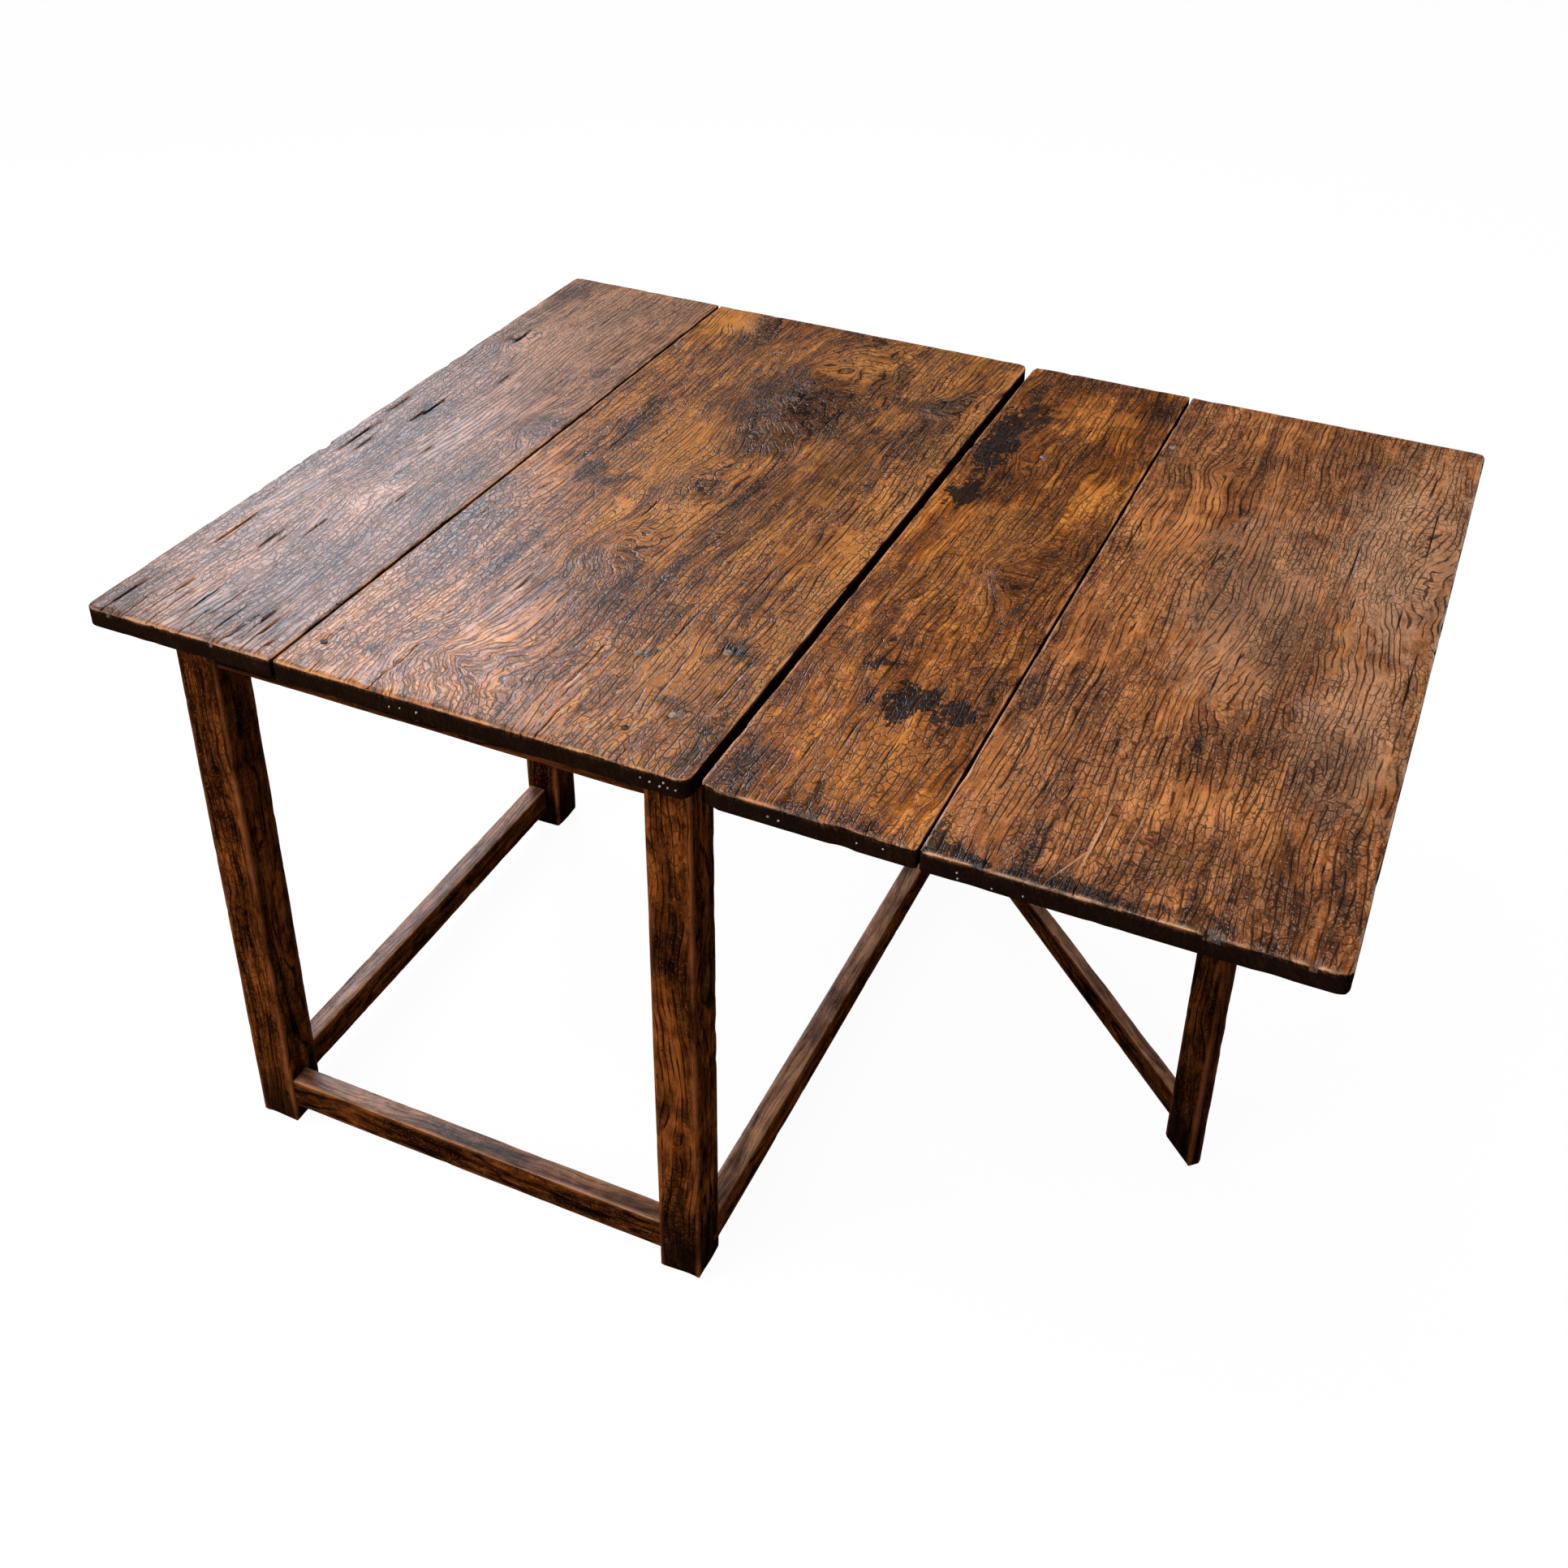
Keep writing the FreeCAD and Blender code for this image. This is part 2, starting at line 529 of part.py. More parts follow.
def make_rails():
    after_leg = f"({FRAME_LEFT} + leg_size)"
    before_leg = f"({FRAME_RIGHT} - leg_size)"
    right_rail_inside = f"({FRAME_RIGHT} - frame_setback - bar_thickness)"
    both = ("first", "last")
    front_line = f"{FRAME_FRONT} + frame_setback"
    cross_rail("front_rail", f"{before_leg} - {after_leg}", after_leg, front_line, both)
    back_line = f"({FRAME_FRONT} + {LEFT_SIDE_DEPTH} - frame_setback - bar_thickness)"
    cross_rail("back_rail", f"{right_rail_inside} - {after_leg}", after_leg, back_line, both)
    bearer_start = f"({LEFT} + bearer_inset)"
    bearer_line = f"{FRAME_FRONT} + {RIGHT_SIDE_DEPTH} - frame_setback - bar_thickness"
    cross_rail("back_bearer", f"{before_leg} - {bearer_start}", bearer_start, bearer_line, ("last",))
    side_start = f"{FRAME_FRONT} + leg_size - tenon_length"
    left_at = (f"{FRAME_LEFT} + frame_setback + bar_thickness", side_start, RAIL_BOTTOM, "90")
    bar("left_rail", f"{LEFT_SIDE_DEPTH} - 2*leg_size", "rail_height", "bar_thickness",
        FRAME_TENON, left_at)
    right_at = (f"{FRAME_RIGHT} - frame_setback", side_start, RAIL_BOTTOM, "90")
    right_rail = bar("right_rail", f"{RIGHT_SIDE_DEPTH} - 2*leg_size", "rail_height", "bar_thickness",
                     FRAME_TENON, right_at)
    cheek = f"{back_line} + (bar_thickness - tenon_thickness)/2 - ({side_start})"
    mortise(right_rail, (f"{cheek} - tenon_play", f"{cheek} + tenon_thickness + tenon_play"),
            ("bar_thickness - tenon_length - tenon_play", "bar_thickness"),
            "tenon_shoulder", "rail_height - tenon_shoulder")


def make_stretchers():
    front_at = (f"{FRAME_LEFT} + leg_size - tenon_length", f"{FRAME_FRONT} + frame_setback",
                "front_stretcher_bottom")
    bar("front_stretcher", f"{FRAME_RIGHT} - {FRAME_LEFT} - 2*leg_size", "stretcher_height",
        "bar_thickness", FRAME_TENON, front_at)
    side_start = f"{FRAME_FRONT} + leg_size - tenon_length"
    left_line = f"{FRAME_LEFT} + frame_setback + bar_thickness"
    left_at = (left_line, side_start, "left_stretcher_bottom", "90")
    bar("left_stretcher", f"{LEFT_SIDE_DEPTH} - 2*leg_size", "stretcher_height", "bar_thickness",
        FRAME_TENON, left_at)
    right_at = (f"{FRAME_RIGHT} - frame_setback", side_start, "right_stretcher_bottom", "90")
    bar("right_stretcher", f"{RIGHT_SIDE_DEPTH} - 2*leg_size", "stretcher_height", "bar_thickness",
        FRAME_TENON, right_at)


# Nails across the leaf, from its inner edge, and its two lines of nails from the front edge.
INNER_NAILS = ("batten_side_inset + nail_inset", "inner_board - nail_inset")
OUTER_START = "(inner_board + leaf_joint)"
OUTER_NAILS = (
    f"{OUTER_START} + nail_inset",
    f"{OUTER_START} + outer_board/2",
    f"{LEAF_WIDTH} - batten_side_inset - nail_inset",
)
BATTEN_MIDDLES = {
    "front": "(batten_end_inset + batten_width/2)",
    "back": "(top_length - batten_end_inset - batten_width/2)",
}


def make_leaf():
    lines = tuple(BATTEN_MIDDLES.values())
    inner_holes = [(x, y) for x in INNER_NAILS for y in lines]
    inner = board("leaf_board_inner", LEAF_LEFT, "inner_board", "left", inner_holes)
    strap_recesses(inner, "0", "-leaf_gap/2", "+")
    outer_holes = [(f"{x} - {OUTER_START}", y) for x in OUTER_NAILS for y in lines]
    board("leaf_board_outer", f"{LEAF_LEFT} + {OUTER_START}", "outer_board", "right", outer_holes)
    for side, middle in BATTEN_MIDDLES.items():
        at = (f"{LEAF_LEFT} + batten_side_inset", f"{FRONT} + {middle} - batten_width/2",
              f"{UNDERSIDE} - batten_thickness")
        body = new_body(f"leaf_batten_{side}", *at)
        add_block(body, ("0", f"{LEAF_WIDTH} - 2*batten_side_inset"), ("0", "batten_width"),
                  ("0", "batten_thickness"))
        ease(body, "Chamfer", "bar_ease", lambda edge: edge.BoundBox.ZMax < TOUCHING)
        depth = "(top_nail_length - board_thickness)"
        holes = [(f"{x} - batten_side_inset", "batten_width/2") for x in INNER_NAILS + OUTER_NAILS]
        cut_rounds(body, "z", f"batten_thickness - {depth}", depth, "nail_shank/2 + nail_play", holes)
    points = [(f"{LEAF_LEFT} + {x}", f"{FRONT} + {y}", "top_height")
              for x in INNER_NAILS + OUTER_NAILS for y in lines]
    gather("leaf_nails", [nail("leaf_nails", point, DOWN, "top_nail_length") for point in points])


def knuckle_span(index, count, width):
    """Ends of one knuckle of a hinge, with half the side play taken off each."""
    return (f"{index}*{width}/{count} + knuckle_gap/2", f"{index + 1}*{width}/{count} - knuckle_gap/2")


def strap(label, at, knuckles):
    """A hinge strap along its own X from the hinge line, rolled up into knuckles."""
    body = new_body(label, *at)
    add_block(body, ("leaf_gap/2", "strap_length"), ("0", "strap_width"), ("0", "strap_thickness"))
    hinge_line = ("0", "leaf_knuckle_radius")
    far = number("strap_length") - TOUCHING
    ease(body, "Chamfer", "strap_clip", lambda edge: runs_along(edge, "z") and edge.BoundBox.XMin > far)
    for index in knuckles:
        span = knuckle_span(index, LEAF_KNUCKLES, "strap_width")
        add_block(body, ("0", "leaf_gap/2"), span, ("0", "strap_thickness"))
        add_round(body, "y", span, "leaf_knuckle_radius", hinge_line)
    cut_rounds(body, "y", "0", "strap_width", "leaf_pin_radius + pin_play", [hinge_line])
    spots = [(along_strap(i), "strap_width/2") for i in range(STRAP_NAILS)]
    cut_rounds(body, "z", "0", "strap_thickness", "nail_shank/2 + nail_play", spots)
    cut_rounds(body, "z", "0", "nail_head_height + nail_play", "nail_head/2 + nail_play", spots)


def make_leaf_hinges():
    fixed_nails = []
    moving_nails = []
    pins = []
    for side, middle in HINGE_MIDDLES.items():
        low = f"{FRONT} + {middle} - strap_width/2"
        high = f"{FRONT} + {middle} + strap_width/2"
        strap(f"leaf_hinge_{side}_fixed_strap", (LEAF_AXIS_X, high, UNDERSIDE, "180"), (0, 2))
        strap(f"leaf_hinge_{side}_moving_strap", (LEAF_AXIS_X, low, UNDERSIDE), (1,))
        for index in range(STRAP_NAILS):
            out = along_strap(index)
            line = f"{FRONT} + {middle}"
            fixed = (f"{LEAF_AXIS_X} - {out}", line, UNDERSIDE)
            moving = (f"{LEAF_AXIS_X} + {out}", line, UNDERSIDE)
            fixed_nails.append(nail("leaf_hinge_fixed_nails", fixed, UP, "hinge_nail_length"))
            moving_nails.append(nail("leaf_hinge_moving_nails", moving, UP, "hinge_nail_length"))
        pin_start = (LEAF_AXIS_X, f"{low} - pin_head_height", LEAF_AXIS_Z)
        pins.append(stud("leaf_hinge_pins", pin_start, TO_Y, "leaf_pin_radius", "pin_head/2",
                         "pin_head_height", "strap_width + 2*pin_head_height"))
    gather("leaf_hinge_fixed_nails", fixed_nails)
    gather("leaf_hinge_moving_nails", moving_nails)
    gather("leaf_hinge_pins", pins)


# The gate is drawn with X along it from the hinge line, Y away from the frame and Z up from the floor.
GATE_AT = (GATE_AXIS_X, GATE_AXIS_Y, "0", "gate_angle - 90")
GATE_BARS = {
    "gate_rail": (GATE_RAIL_BOTTOM, "gate_rail_height"),
    "gate_stretcher": ("gate_stretcher_bottom", "gate_stretcher_height"),
}
STILE_END = "(axis_setback + gate_stile_width)"
GATE_LEG_START = "(gate_length - gate_leg_width)"
GATE_CHEEK = f"({GATE_INNER} + (gate_thickness - gate_tenon_thickness)/2)"


def gate_upright(label, x, z, mortise_x, peg_x):
    """The hanging stile or the gate leg, mortised for both gate bars."""
    body = new_body(label, *GATE_AT)
    add_block(body, x, (GATE_INNER, f"{GATE_INNER} + gate_thickness"), z)
    ease(body, "Chamfer", "gate_ease", lambda edge: runs_along(edge, "z"))
    cheeks = (f"{GATE_CHEEK} - tenon_play", f"{GATE_CHEEK} + gate_tenon_thickness + tenon_play")
    spots = []
    for bottom, height in GATE_BARS.values():
        top = f"{bottom} + {height} - tenon_shoulder"
        mortise(body, mortise_x, cheeks, f"{bottom} + tenon_shoulder", top)
        spots.append((peg_x, f"{bottom} + {height}/2"))
    cut_rounds(body, "y", GATE_INNER, "gate_thickness", bore("gate_peg_diameter"), spots)
    return body


def make_gate():
    stile_peg = f"{STILE_END} - gate_tenon_length/2"
    leg_peg = f"{GATE_LEG_START} + gate_tenon_length/2"
    reach = "gate_tenon_length + tenon_play"
    stile = gate_upright("gate_stile", ("axis_setback", STILE_END), ("stile_bottom", GATE_TOP),
                         (f"{STILE_END} - ({reach})", STILE_END), stile_peg)
    gate_upright("gate_leg", (GATE_LEG_START, "gate_length"), ("gate_foot_clear", GATE_TOP),
                 (GATE_LEG_START, f"{GATE_LEG_START} + {reach}"), leg_peg)
    plate_spots = [plate_spot(index) for index in range(PLATE_NAILS)]
    holes = [(out, f"{bottom} + {up}") for bottom in GATE_HINGES.values() for out, up in plate_spots]
    depth = "hinge_nail_length - plate_thickness + nail_play"
    cut_rounds(stile, "y", GATE_INNER, depth, "nail_shank/2 + nail_play", holes)
    pegs = []
    for label, (bottom, height) in GATE_BARS.items():
        start = (f"{STILE_END} - gate_tenon_length", GATE_INNER, bottom)
        bar(label, f"{GATE_LEG_START} - {STILE_END}", height, "gate_thickness",
            GATE_TENON, GATE_AT, start)
        for peg_x in (stile_peg, leg_peg):
            point = (peg_x, f"{GATE_INNER} - peg_proud", f"{bottom} + {height}/2")
            length = "gate_thickness + 2*peg_proud"
            pegs.append(peg("gate_pegs", point, TO_Y, "gate_peg_diameter", length))
    gather("gate_pegs", pegs, *GATE_AT)


def hinge_plate(label, at, axis_y, plate_y, knuckles, head_face):
    """A gate hinge plate along its own X from the hinge line, with its share of the knuckles."""
    body = new_body(label, *at)
    thick = (plate_y, f"{plate_y} + plate_thickness")
    add_block(body, ("axis_setback", "axis_setback + plate_width"), thick, ("0", "plate_height"))
    for index in knuckles:
        span = knuckle_span(index, GATE_KNUCKLES, "plate_height")
        add_block(body, ("0", "axis_setback"), thick, span)
        add_round(body, "z", span, "gate_knuckle_radius", ("0", axis_y))
    cut_rounds(body, "z", "0", "plate_height", "gate_pin_radius + pin_play", [("0", axis_y)])
    spots = [plate_spot(index) for index in range(PLATE_NAILS)]
    cut_rounds(body, "y", plate_y, "plate_thickness", "nail_shank/2 + nail_play", spots)
    sink = "nail_head_height + nail_play"
    start = plate_y if head_face == "low" else f"{plate_y} + plate_thickness - ({sink})"
    cut_rounds(body, "y", start, sink, "nail_head/2 + nail_play", spots)


def make_gate_hinges():
    fixed_nails = []
    moving_nails = []
    pins = []
    moving_face = f"{GATE_INNER} - plate_thickness"
    for level, bottom in GATE_HINGES.items():
        fixed_at = (FRAME_RIGHT, GATE_AXIS_Y, bottom, "-90")
        hinge_plate(f"gate_hinge_{level}_fixed_plate", fixed_at, GATE_INNER, "0", (0, 2, 4), "high")
        moving_at = (GATE_AXIS_X, GATE_AXIS_Y, bottom, "gate_angle - 90")
        hinge_plate(f"gate_hinge_{level}_moving_plate", moving_at, "0", moving_face, (1, 3), "low")
        for index in range(PLATE_NAILS):
            out, up = plate_spot(index)
            fixed = (f"{FRAME_RIGHT} + plate_thickness", f"{GATE_AXIS_Y} - {out}", f"{bottom} + {up}")
            fixed_nails.append(nail("gate_hinge_fixed_nails", fixed, TO_MINUS_X, "hinge_nail_length"))
            moving = (out, moving_face, f"{bottom} + {up}")
            moving_nails.append(nail("gate_hinge_moving_nails", moving, TO_Y, "hinge_nail_length"))
        top = (GATE_AXIS_X, GATE_AXIS_Y, f"{bottom} + plate_height + pin_head_height")
        pins.append(stud("gate_hinge_pins", top, DOWN, "gate_pin_radius", "pin_head/2",
                         "pin_head_height", "plate_height + 2*pin_head_height"))
    gather("gate_hinge_fixed_nails", fixed_nails)
    gather("gate_hinge_moving_nails", moving_nails, *GATE_AT)
    gather("gate_hinge_pins", pins)


def check_document():
    """Stops if an object failed, a cut removed nothing or a sub-part has no sound shape."""
    for item in doc.Objects:
        if "Invalid" in item.State or "Error" in item.State:
            raise RuntimeError(f"{item.Label} failed: {item.State}")
        if item.TypeId == "PartDesign::Pocket":
            if item.Shape.Volume > item.BaseFeature.Shape.Volume - NO_VOLUME:
                raise RuntimeError(f"{item.Label} cuts nothing")
    for item in sub_parts:
        if item.Shape.isNull() or not item.Shape.isValid():
            raise RuntimeError(f"{item.Label} has no sound shape")


def write_parts():
    os.makedirs("parts", exist_ok=True)
    for item in sub_parts:
        item.Shape.exportStep(f"parts/{item.Label}.step")


fill_sheet()
make_legs()
make_fixed_top()
make_rails()
make_stretchers()
make_leaf()
make_leaf_hinges()
make_gate()
make_gate_hinges()
doc.recompute()
check_document()
write_parts()
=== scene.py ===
"""Gateleg side table: worn wood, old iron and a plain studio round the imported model."""
import json
import random
from math import ceil, hypot, radians

import bmesh
import bpy
from mathutils import Matrix, Vector, noise


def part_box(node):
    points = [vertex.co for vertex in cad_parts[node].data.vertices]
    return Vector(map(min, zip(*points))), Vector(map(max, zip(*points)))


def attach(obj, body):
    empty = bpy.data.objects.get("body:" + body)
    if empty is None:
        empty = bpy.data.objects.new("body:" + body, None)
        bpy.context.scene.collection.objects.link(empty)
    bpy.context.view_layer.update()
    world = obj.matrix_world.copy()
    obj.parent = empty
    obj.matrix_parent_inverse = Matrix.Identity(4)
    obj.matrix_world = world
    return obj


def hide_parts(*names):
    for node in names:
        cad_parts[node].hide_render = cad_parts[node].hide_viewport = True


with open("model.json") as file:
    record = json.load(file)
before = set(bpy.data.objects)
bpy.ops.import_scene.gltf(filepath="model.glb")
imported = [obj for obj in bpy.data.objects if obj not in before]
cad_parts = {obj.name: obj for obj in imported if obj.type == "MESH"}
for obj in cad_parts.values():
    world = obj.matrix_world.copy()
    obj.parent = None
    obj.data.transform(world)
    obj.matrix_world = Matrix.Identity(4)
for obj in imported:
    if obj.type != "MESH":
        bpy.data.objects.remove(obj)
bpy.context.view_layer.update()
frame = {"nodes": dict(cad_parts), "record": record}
nodes = frame["nodes"]

MM = 0.001
X, Y, Z = 0, 1, 2


# Making boards and timbers

SHADE_ANGLE = radians(40)
# For cuts: share of an edge along its axis, excess over a step, and most parts in one round.
ALONG_AXIS, LONG_ENOUGH, MOST_PARTS = 0.9999, 1.2, 90
# Chipped edges: waves per metre, the level of noise above which a chip shows, and its depth.
WEAR_RATE = 14
BREAK_RATE, BREAK_LEVEL, BREAK_DEPTH = 36, 0.28, 15 * MM
NICK_RATE, NICK_LEVEL, NICK_DEPTH = 95, 0.26, 8 * MM


def straight_runs(piece, axis, shortest):
    """Edges along one axis that are longer than the shortest."""
    mesh = bmesh.from_edit_mesh(piece.data)
    for edge in mesh.edges:
        length = edge.calc_length()
        reach = abs(edge.verts[0].co[axis] - edge.verts[1].co[axis])
        if length > shortest and reach > ALONG_AXIS * length:
            yield edge


def divide(piece, axis, step):
    """Cuts the straight runs along one axis into lengths of about one step."""
    length = max(edge.calc_length() for edge in straight_runs(piece, axis, step))
    parts = max(1, round(length / step))
    coarse = ceil(parts / MOST_PARTS)
    for count in (coarse, round(parts / coarse)):
        if count < 2:
            continue
        bpy.ops.mesh.select_all(action="DESELECT")
        for edge in straight_runs(piece, axis, step * LONG_ENOUGH):
            edge.select_set(True)
        bmesh.update_edit_mesh(piece.data)
        bpy.ops.mesh.subdivide(number_cuts=count - 1)


def cut_block(name, low, high, arris, arris_cuts, steps):
    """A box between two corners with softened edges, cut along each axis into small steps."""
    bpy.ops.mesh.primitive_cube_add(size=1)
    piece = bpy.context.object
    piece.name = name
    piece.data.name = name
    bpy.ops.object.mode_set(mode="EDIT")
    bpy.ops.mesh.select_mode(type="EDGE")
    bpy.ops.mesh.select_all(action="SELECT")
    bpy.ops.transform.resize(value=high - low)
    bpy.ops.transform.translate(value=(low + high) / 2)
    bpy.ops.mesh.bevel(offset=arris, segments=arris_cuts, affect="EDGES")
    for axis, step in steps:
        divide(piece, axis, step)
    bpy.ops.object.mode_set(mode="OBJECT")
    return piece


def wear_block(piece, spots, marks):
    """Moves the vertices of the newest block, keeps marks on them and shades it smooth."""
    mesh = piece.data
    mesh.vertices.foreach_set("co", [value for spot in spots for value in spot])
    for label, values in marks.items():
        layer = mesh.attributes.new(label, "FLOAT", "POINT")
        layer.data.foreach_set("value", values)
    mesh.update()
    bpy.ops.object.shade_smooth_by_angle(angle=SHADE_ANGLE)
    return piece


def ripple(x, y, z=0.0):
    """Smooth noise from about -1 to 1."""
    return noise.noise((x, y, z))


def swell(along, seed):
    """Smooth noise from about 0 to 1."""
    return 0.5 + 0.5 * ripple(along, seed)


def peaks(along, seed, level):
    """The part of smooth noise that stands above a level."""
    return max(0.0, ripple(along, seed) - level)


def smooth(low, high, value):
    """A soft step from 0 at low to 1 at high."""
    share = min(1.0, max(0.0, (value - low) / (high - low)))
    return share * share * (3 - 2 * share)


def round_off(first, second, radius):
    """Two distances from the faces at an edge, after the edge is rounded to a radius."""
    if first >= radius or second >= radius:
        return first, second
    reach = hypot(radius - first, radius - second)
    if reach <= radius:
        return first, second
    scale = radius / reach
    return radius - (radius - first) * scale, radius - (radius - second) * scale


def chipped(along, seed, least, swing, chips):
    """Radius of a worn edge at one place along it."""
    worn = least + swing * swell(along * WEAR_RATE, seed)
    broken = peaks(along * BREAK_RATE, seed + 5.3, BREAK_LEVEL)
    nicked = peaks(along * NICK_RATE, seed + 9.1, NICK_LEVEL)
    return worn + chips * (broken * BREAK_DEPTH + nicked * NICK_DEPTH)


# The four boards of the top

BOARD_STEPS = ((Y, 4.8 * MM), (X, 2.1 * MM), (Z, 4 * MM))
BOARD_LIFT = 0.3 * MM
BOARD_ARRIS, BOARD_ARRIS_SWING = 1.4 * MM, 2.4 * MM
LOWER_ARRIS, LOWER_ARRIS_CUTS, LOWER_ARRIS_KEPT = 2.4 * MM, 3, 0.25
SIDE_SEED = 3.7
# Faces that rise more than this show the face wood.
FACE_RISE = 0.35
FACE_SKIN, COLUMN_SKIN, COLUMN_DECIMALS = 0.5 * MM, 0.2 * MM, 5
# Hollows of a face: waves per metre across and along the grain, and depth in millimetres.
COARSE_GRAIN = (75, 5, 0.15)
FINE_GRAIN = (210, 9, 0.09)
BROAD_HOLLOW = (7, 3, 0.35)
SAWN_UNDERSIDE = (60, 8, 0.12)
FACE_WORN = 0.42
# Drying checks: share that tapers, half width when closed, opening per depth, depth from which the
# lips split too, and how near the front end a check runs out.
CHECK_TAPER, CHECK_WIDTH, CHECK_OPENING = 0.42, 0.4 * MM, 0.22
CHECK_SPLIT, CHECK_END = 1.8 * MM, 2 * MM
# Jags of a check: size in millimetres, waves per metre, and spread between checks.
CHECK_JAGS = ((1.6, 28, 90), (1.5, 85, 70), (0.8, 190, 50))
NAIL_DISH, NAIL_DISH_RIM = 0.8 * MM, (4 * MM, 12 * MM)
# Where edges are rubbed and given a painted highlight, and where the side and the underside begin.
RUB_WIDTH, RUB_RATE = 4 * MM, 34
WALL_DEPTH, WALL_WIDTH = (2.5 * MM, 6 * MM), (0.5 * MM, 2.5 * MM)
UNDERSIDE_DEPTH = (12 * MM, 18 * MM)
# How an edge wavers: depth, waves per metre, and reach inwards or level of noise.
WAVER_DEPTH, WAVER_RATE, WAVER_REACH = 0.7 * MM, 6, 22 * MM
BITE_DEPTH, BITE_RATE, BITE_LEVEL = 1.6 * MM, 24, 0.2
LOSS_DEPTH, LOSS_RATE, LOSS_LEVEL = 5 * MM, 23, 0.33
# Short fine checks: margins in which none starts, and ranges of length and depth.
FINE_MARGIN, FINE_FRONT, FINE_BACK = 12 * MM, 15 * MM, 120 * MM
FINE_LENGTHS, FINE_DEPTHS = (35, 110), (0.4, 0.9)


def round_corner(x, y, low, high, radii):
    """Turns a point near a square corner of a board onto a rounded one."""
    left = x - low[X] < high[X] - x
    front = y - low[Y] < high[Y] - y
    radius = radii[0 if left else 1]
    side, end = -1 if left else 1, -1 if front else 1
    centre_x = (low if left else high)[X] - side * radius
    centre_y = (low if front else high)[Y] - end * radius
    across, along = side * (x - centre_x) / radius, end * (y - centre_y) / radius
    if across <= 0 or along <= 0:
        return x, y
    x = centre_x + side * across * (1 - along * along / 2) ** 0.5 * radius
    y = centre_y + end * along * (1 - across * across / 2) ** 0.5 * radius
    return x, y


def plan_checks(columns, checks):
    near = {}
    for check in checks:
        middle = min(range(len(columns)), key=lambda i: abs(columns[i] - check[0]))
        for side in (-1, 0, 1):
            if 0 <= middle + side < len(columns):
                near.setdefault(columns[middle + side], []).append((check, side))
    return near


def hollow(x, y, seed, across, along, depth):
    """One layer of hollows at a place on a board."""
    return depth * ripple(x * across, y * along, seed)


def worn_down(x, y, seed):
    """How far the upper face is worn down at one place."""
    layers = (COARSE_GRAIN, FINE_GRAIN, BROAD_HOLLOW)
    return MM * (FACE_WORN + sum(hollow(x, y, seed + 2 * i, *row) for i, row in enumerate(layers)))


def cut_checks(x, y, z, checks, front):
    """Moves a point of the upper face onto its checks. Also gives how far it is split."""
    split = 0.0
    for (line, start, end, deep), side in checks:
        if not start < y < end:
            continue
        point = CHECK_TAPER * (end - start)
        taper = min(1.0, (end - y) / point)
        if start > front + CHECK_END:
            taper = min(taper, (y - start) / point)
        jags = sum(size * ripple(y * rate, line * spread) for size, rate, spread in CHECK_JAGS)
        wander = line + jags * MM
        if side == 0:
            x = wander
            z -= deep * taper
            split = max(split, taper)
        else:
            x = wander + side * (CHECK_WIDTH + CHECK_OPENING * deep * taper)
            split = max(split, taper * (deep - CHECK_SPLIT) / MM)
    return x, z, split


def nail_dish(x, y, nails):
    """How far the face is beaten down round the nails."""
    return sum(
        NAIL_DISH * (1 - smooth(*NAIL_DISH_RIM, hypot(x - nail_x, y - nail_y)))
        for nail_x, nail_y in nails
    )


def rubbed_bare_and_highlight(to_side, depth, along, seed):
    """How far the wax is rubbed off an upper edge, made stronger to paint a highlight along it."""
    near = smooth(0, 1, 1 - max(to_side, depth) / RUB_WIDTH)
    return near * 1.2 * max(0.0, 0.45 + 1.1 * ripple(along * RUB_RATE, seed))


def in_shade(to_side, depth):
    """1 on the sides and the underside of a board, and 0 on its upper face."""
    wall = smooth(*WALL_DEPTH, depth) * (1 - smooth(*WALL_WIDTH, to_side))
    return max(wall, smooth(*UNDERSIDE_DEPTH, depth))


def edge_waver(along, seed):
    """How far an edge stands in at one place along it."""
    waver = WAVER_DEPTH * (1 + ripple(along * WAVER_RATE, seed + 1.5))
    waver += BITE_DEPTH * peaks(along * BITE_RATE, seed + 2.5, BITE_LEVEL)
    return waver + LOSS_DEPTH * peaks(along * LOSS_RATE, seed + 6.5, LOSS_LEVEL)


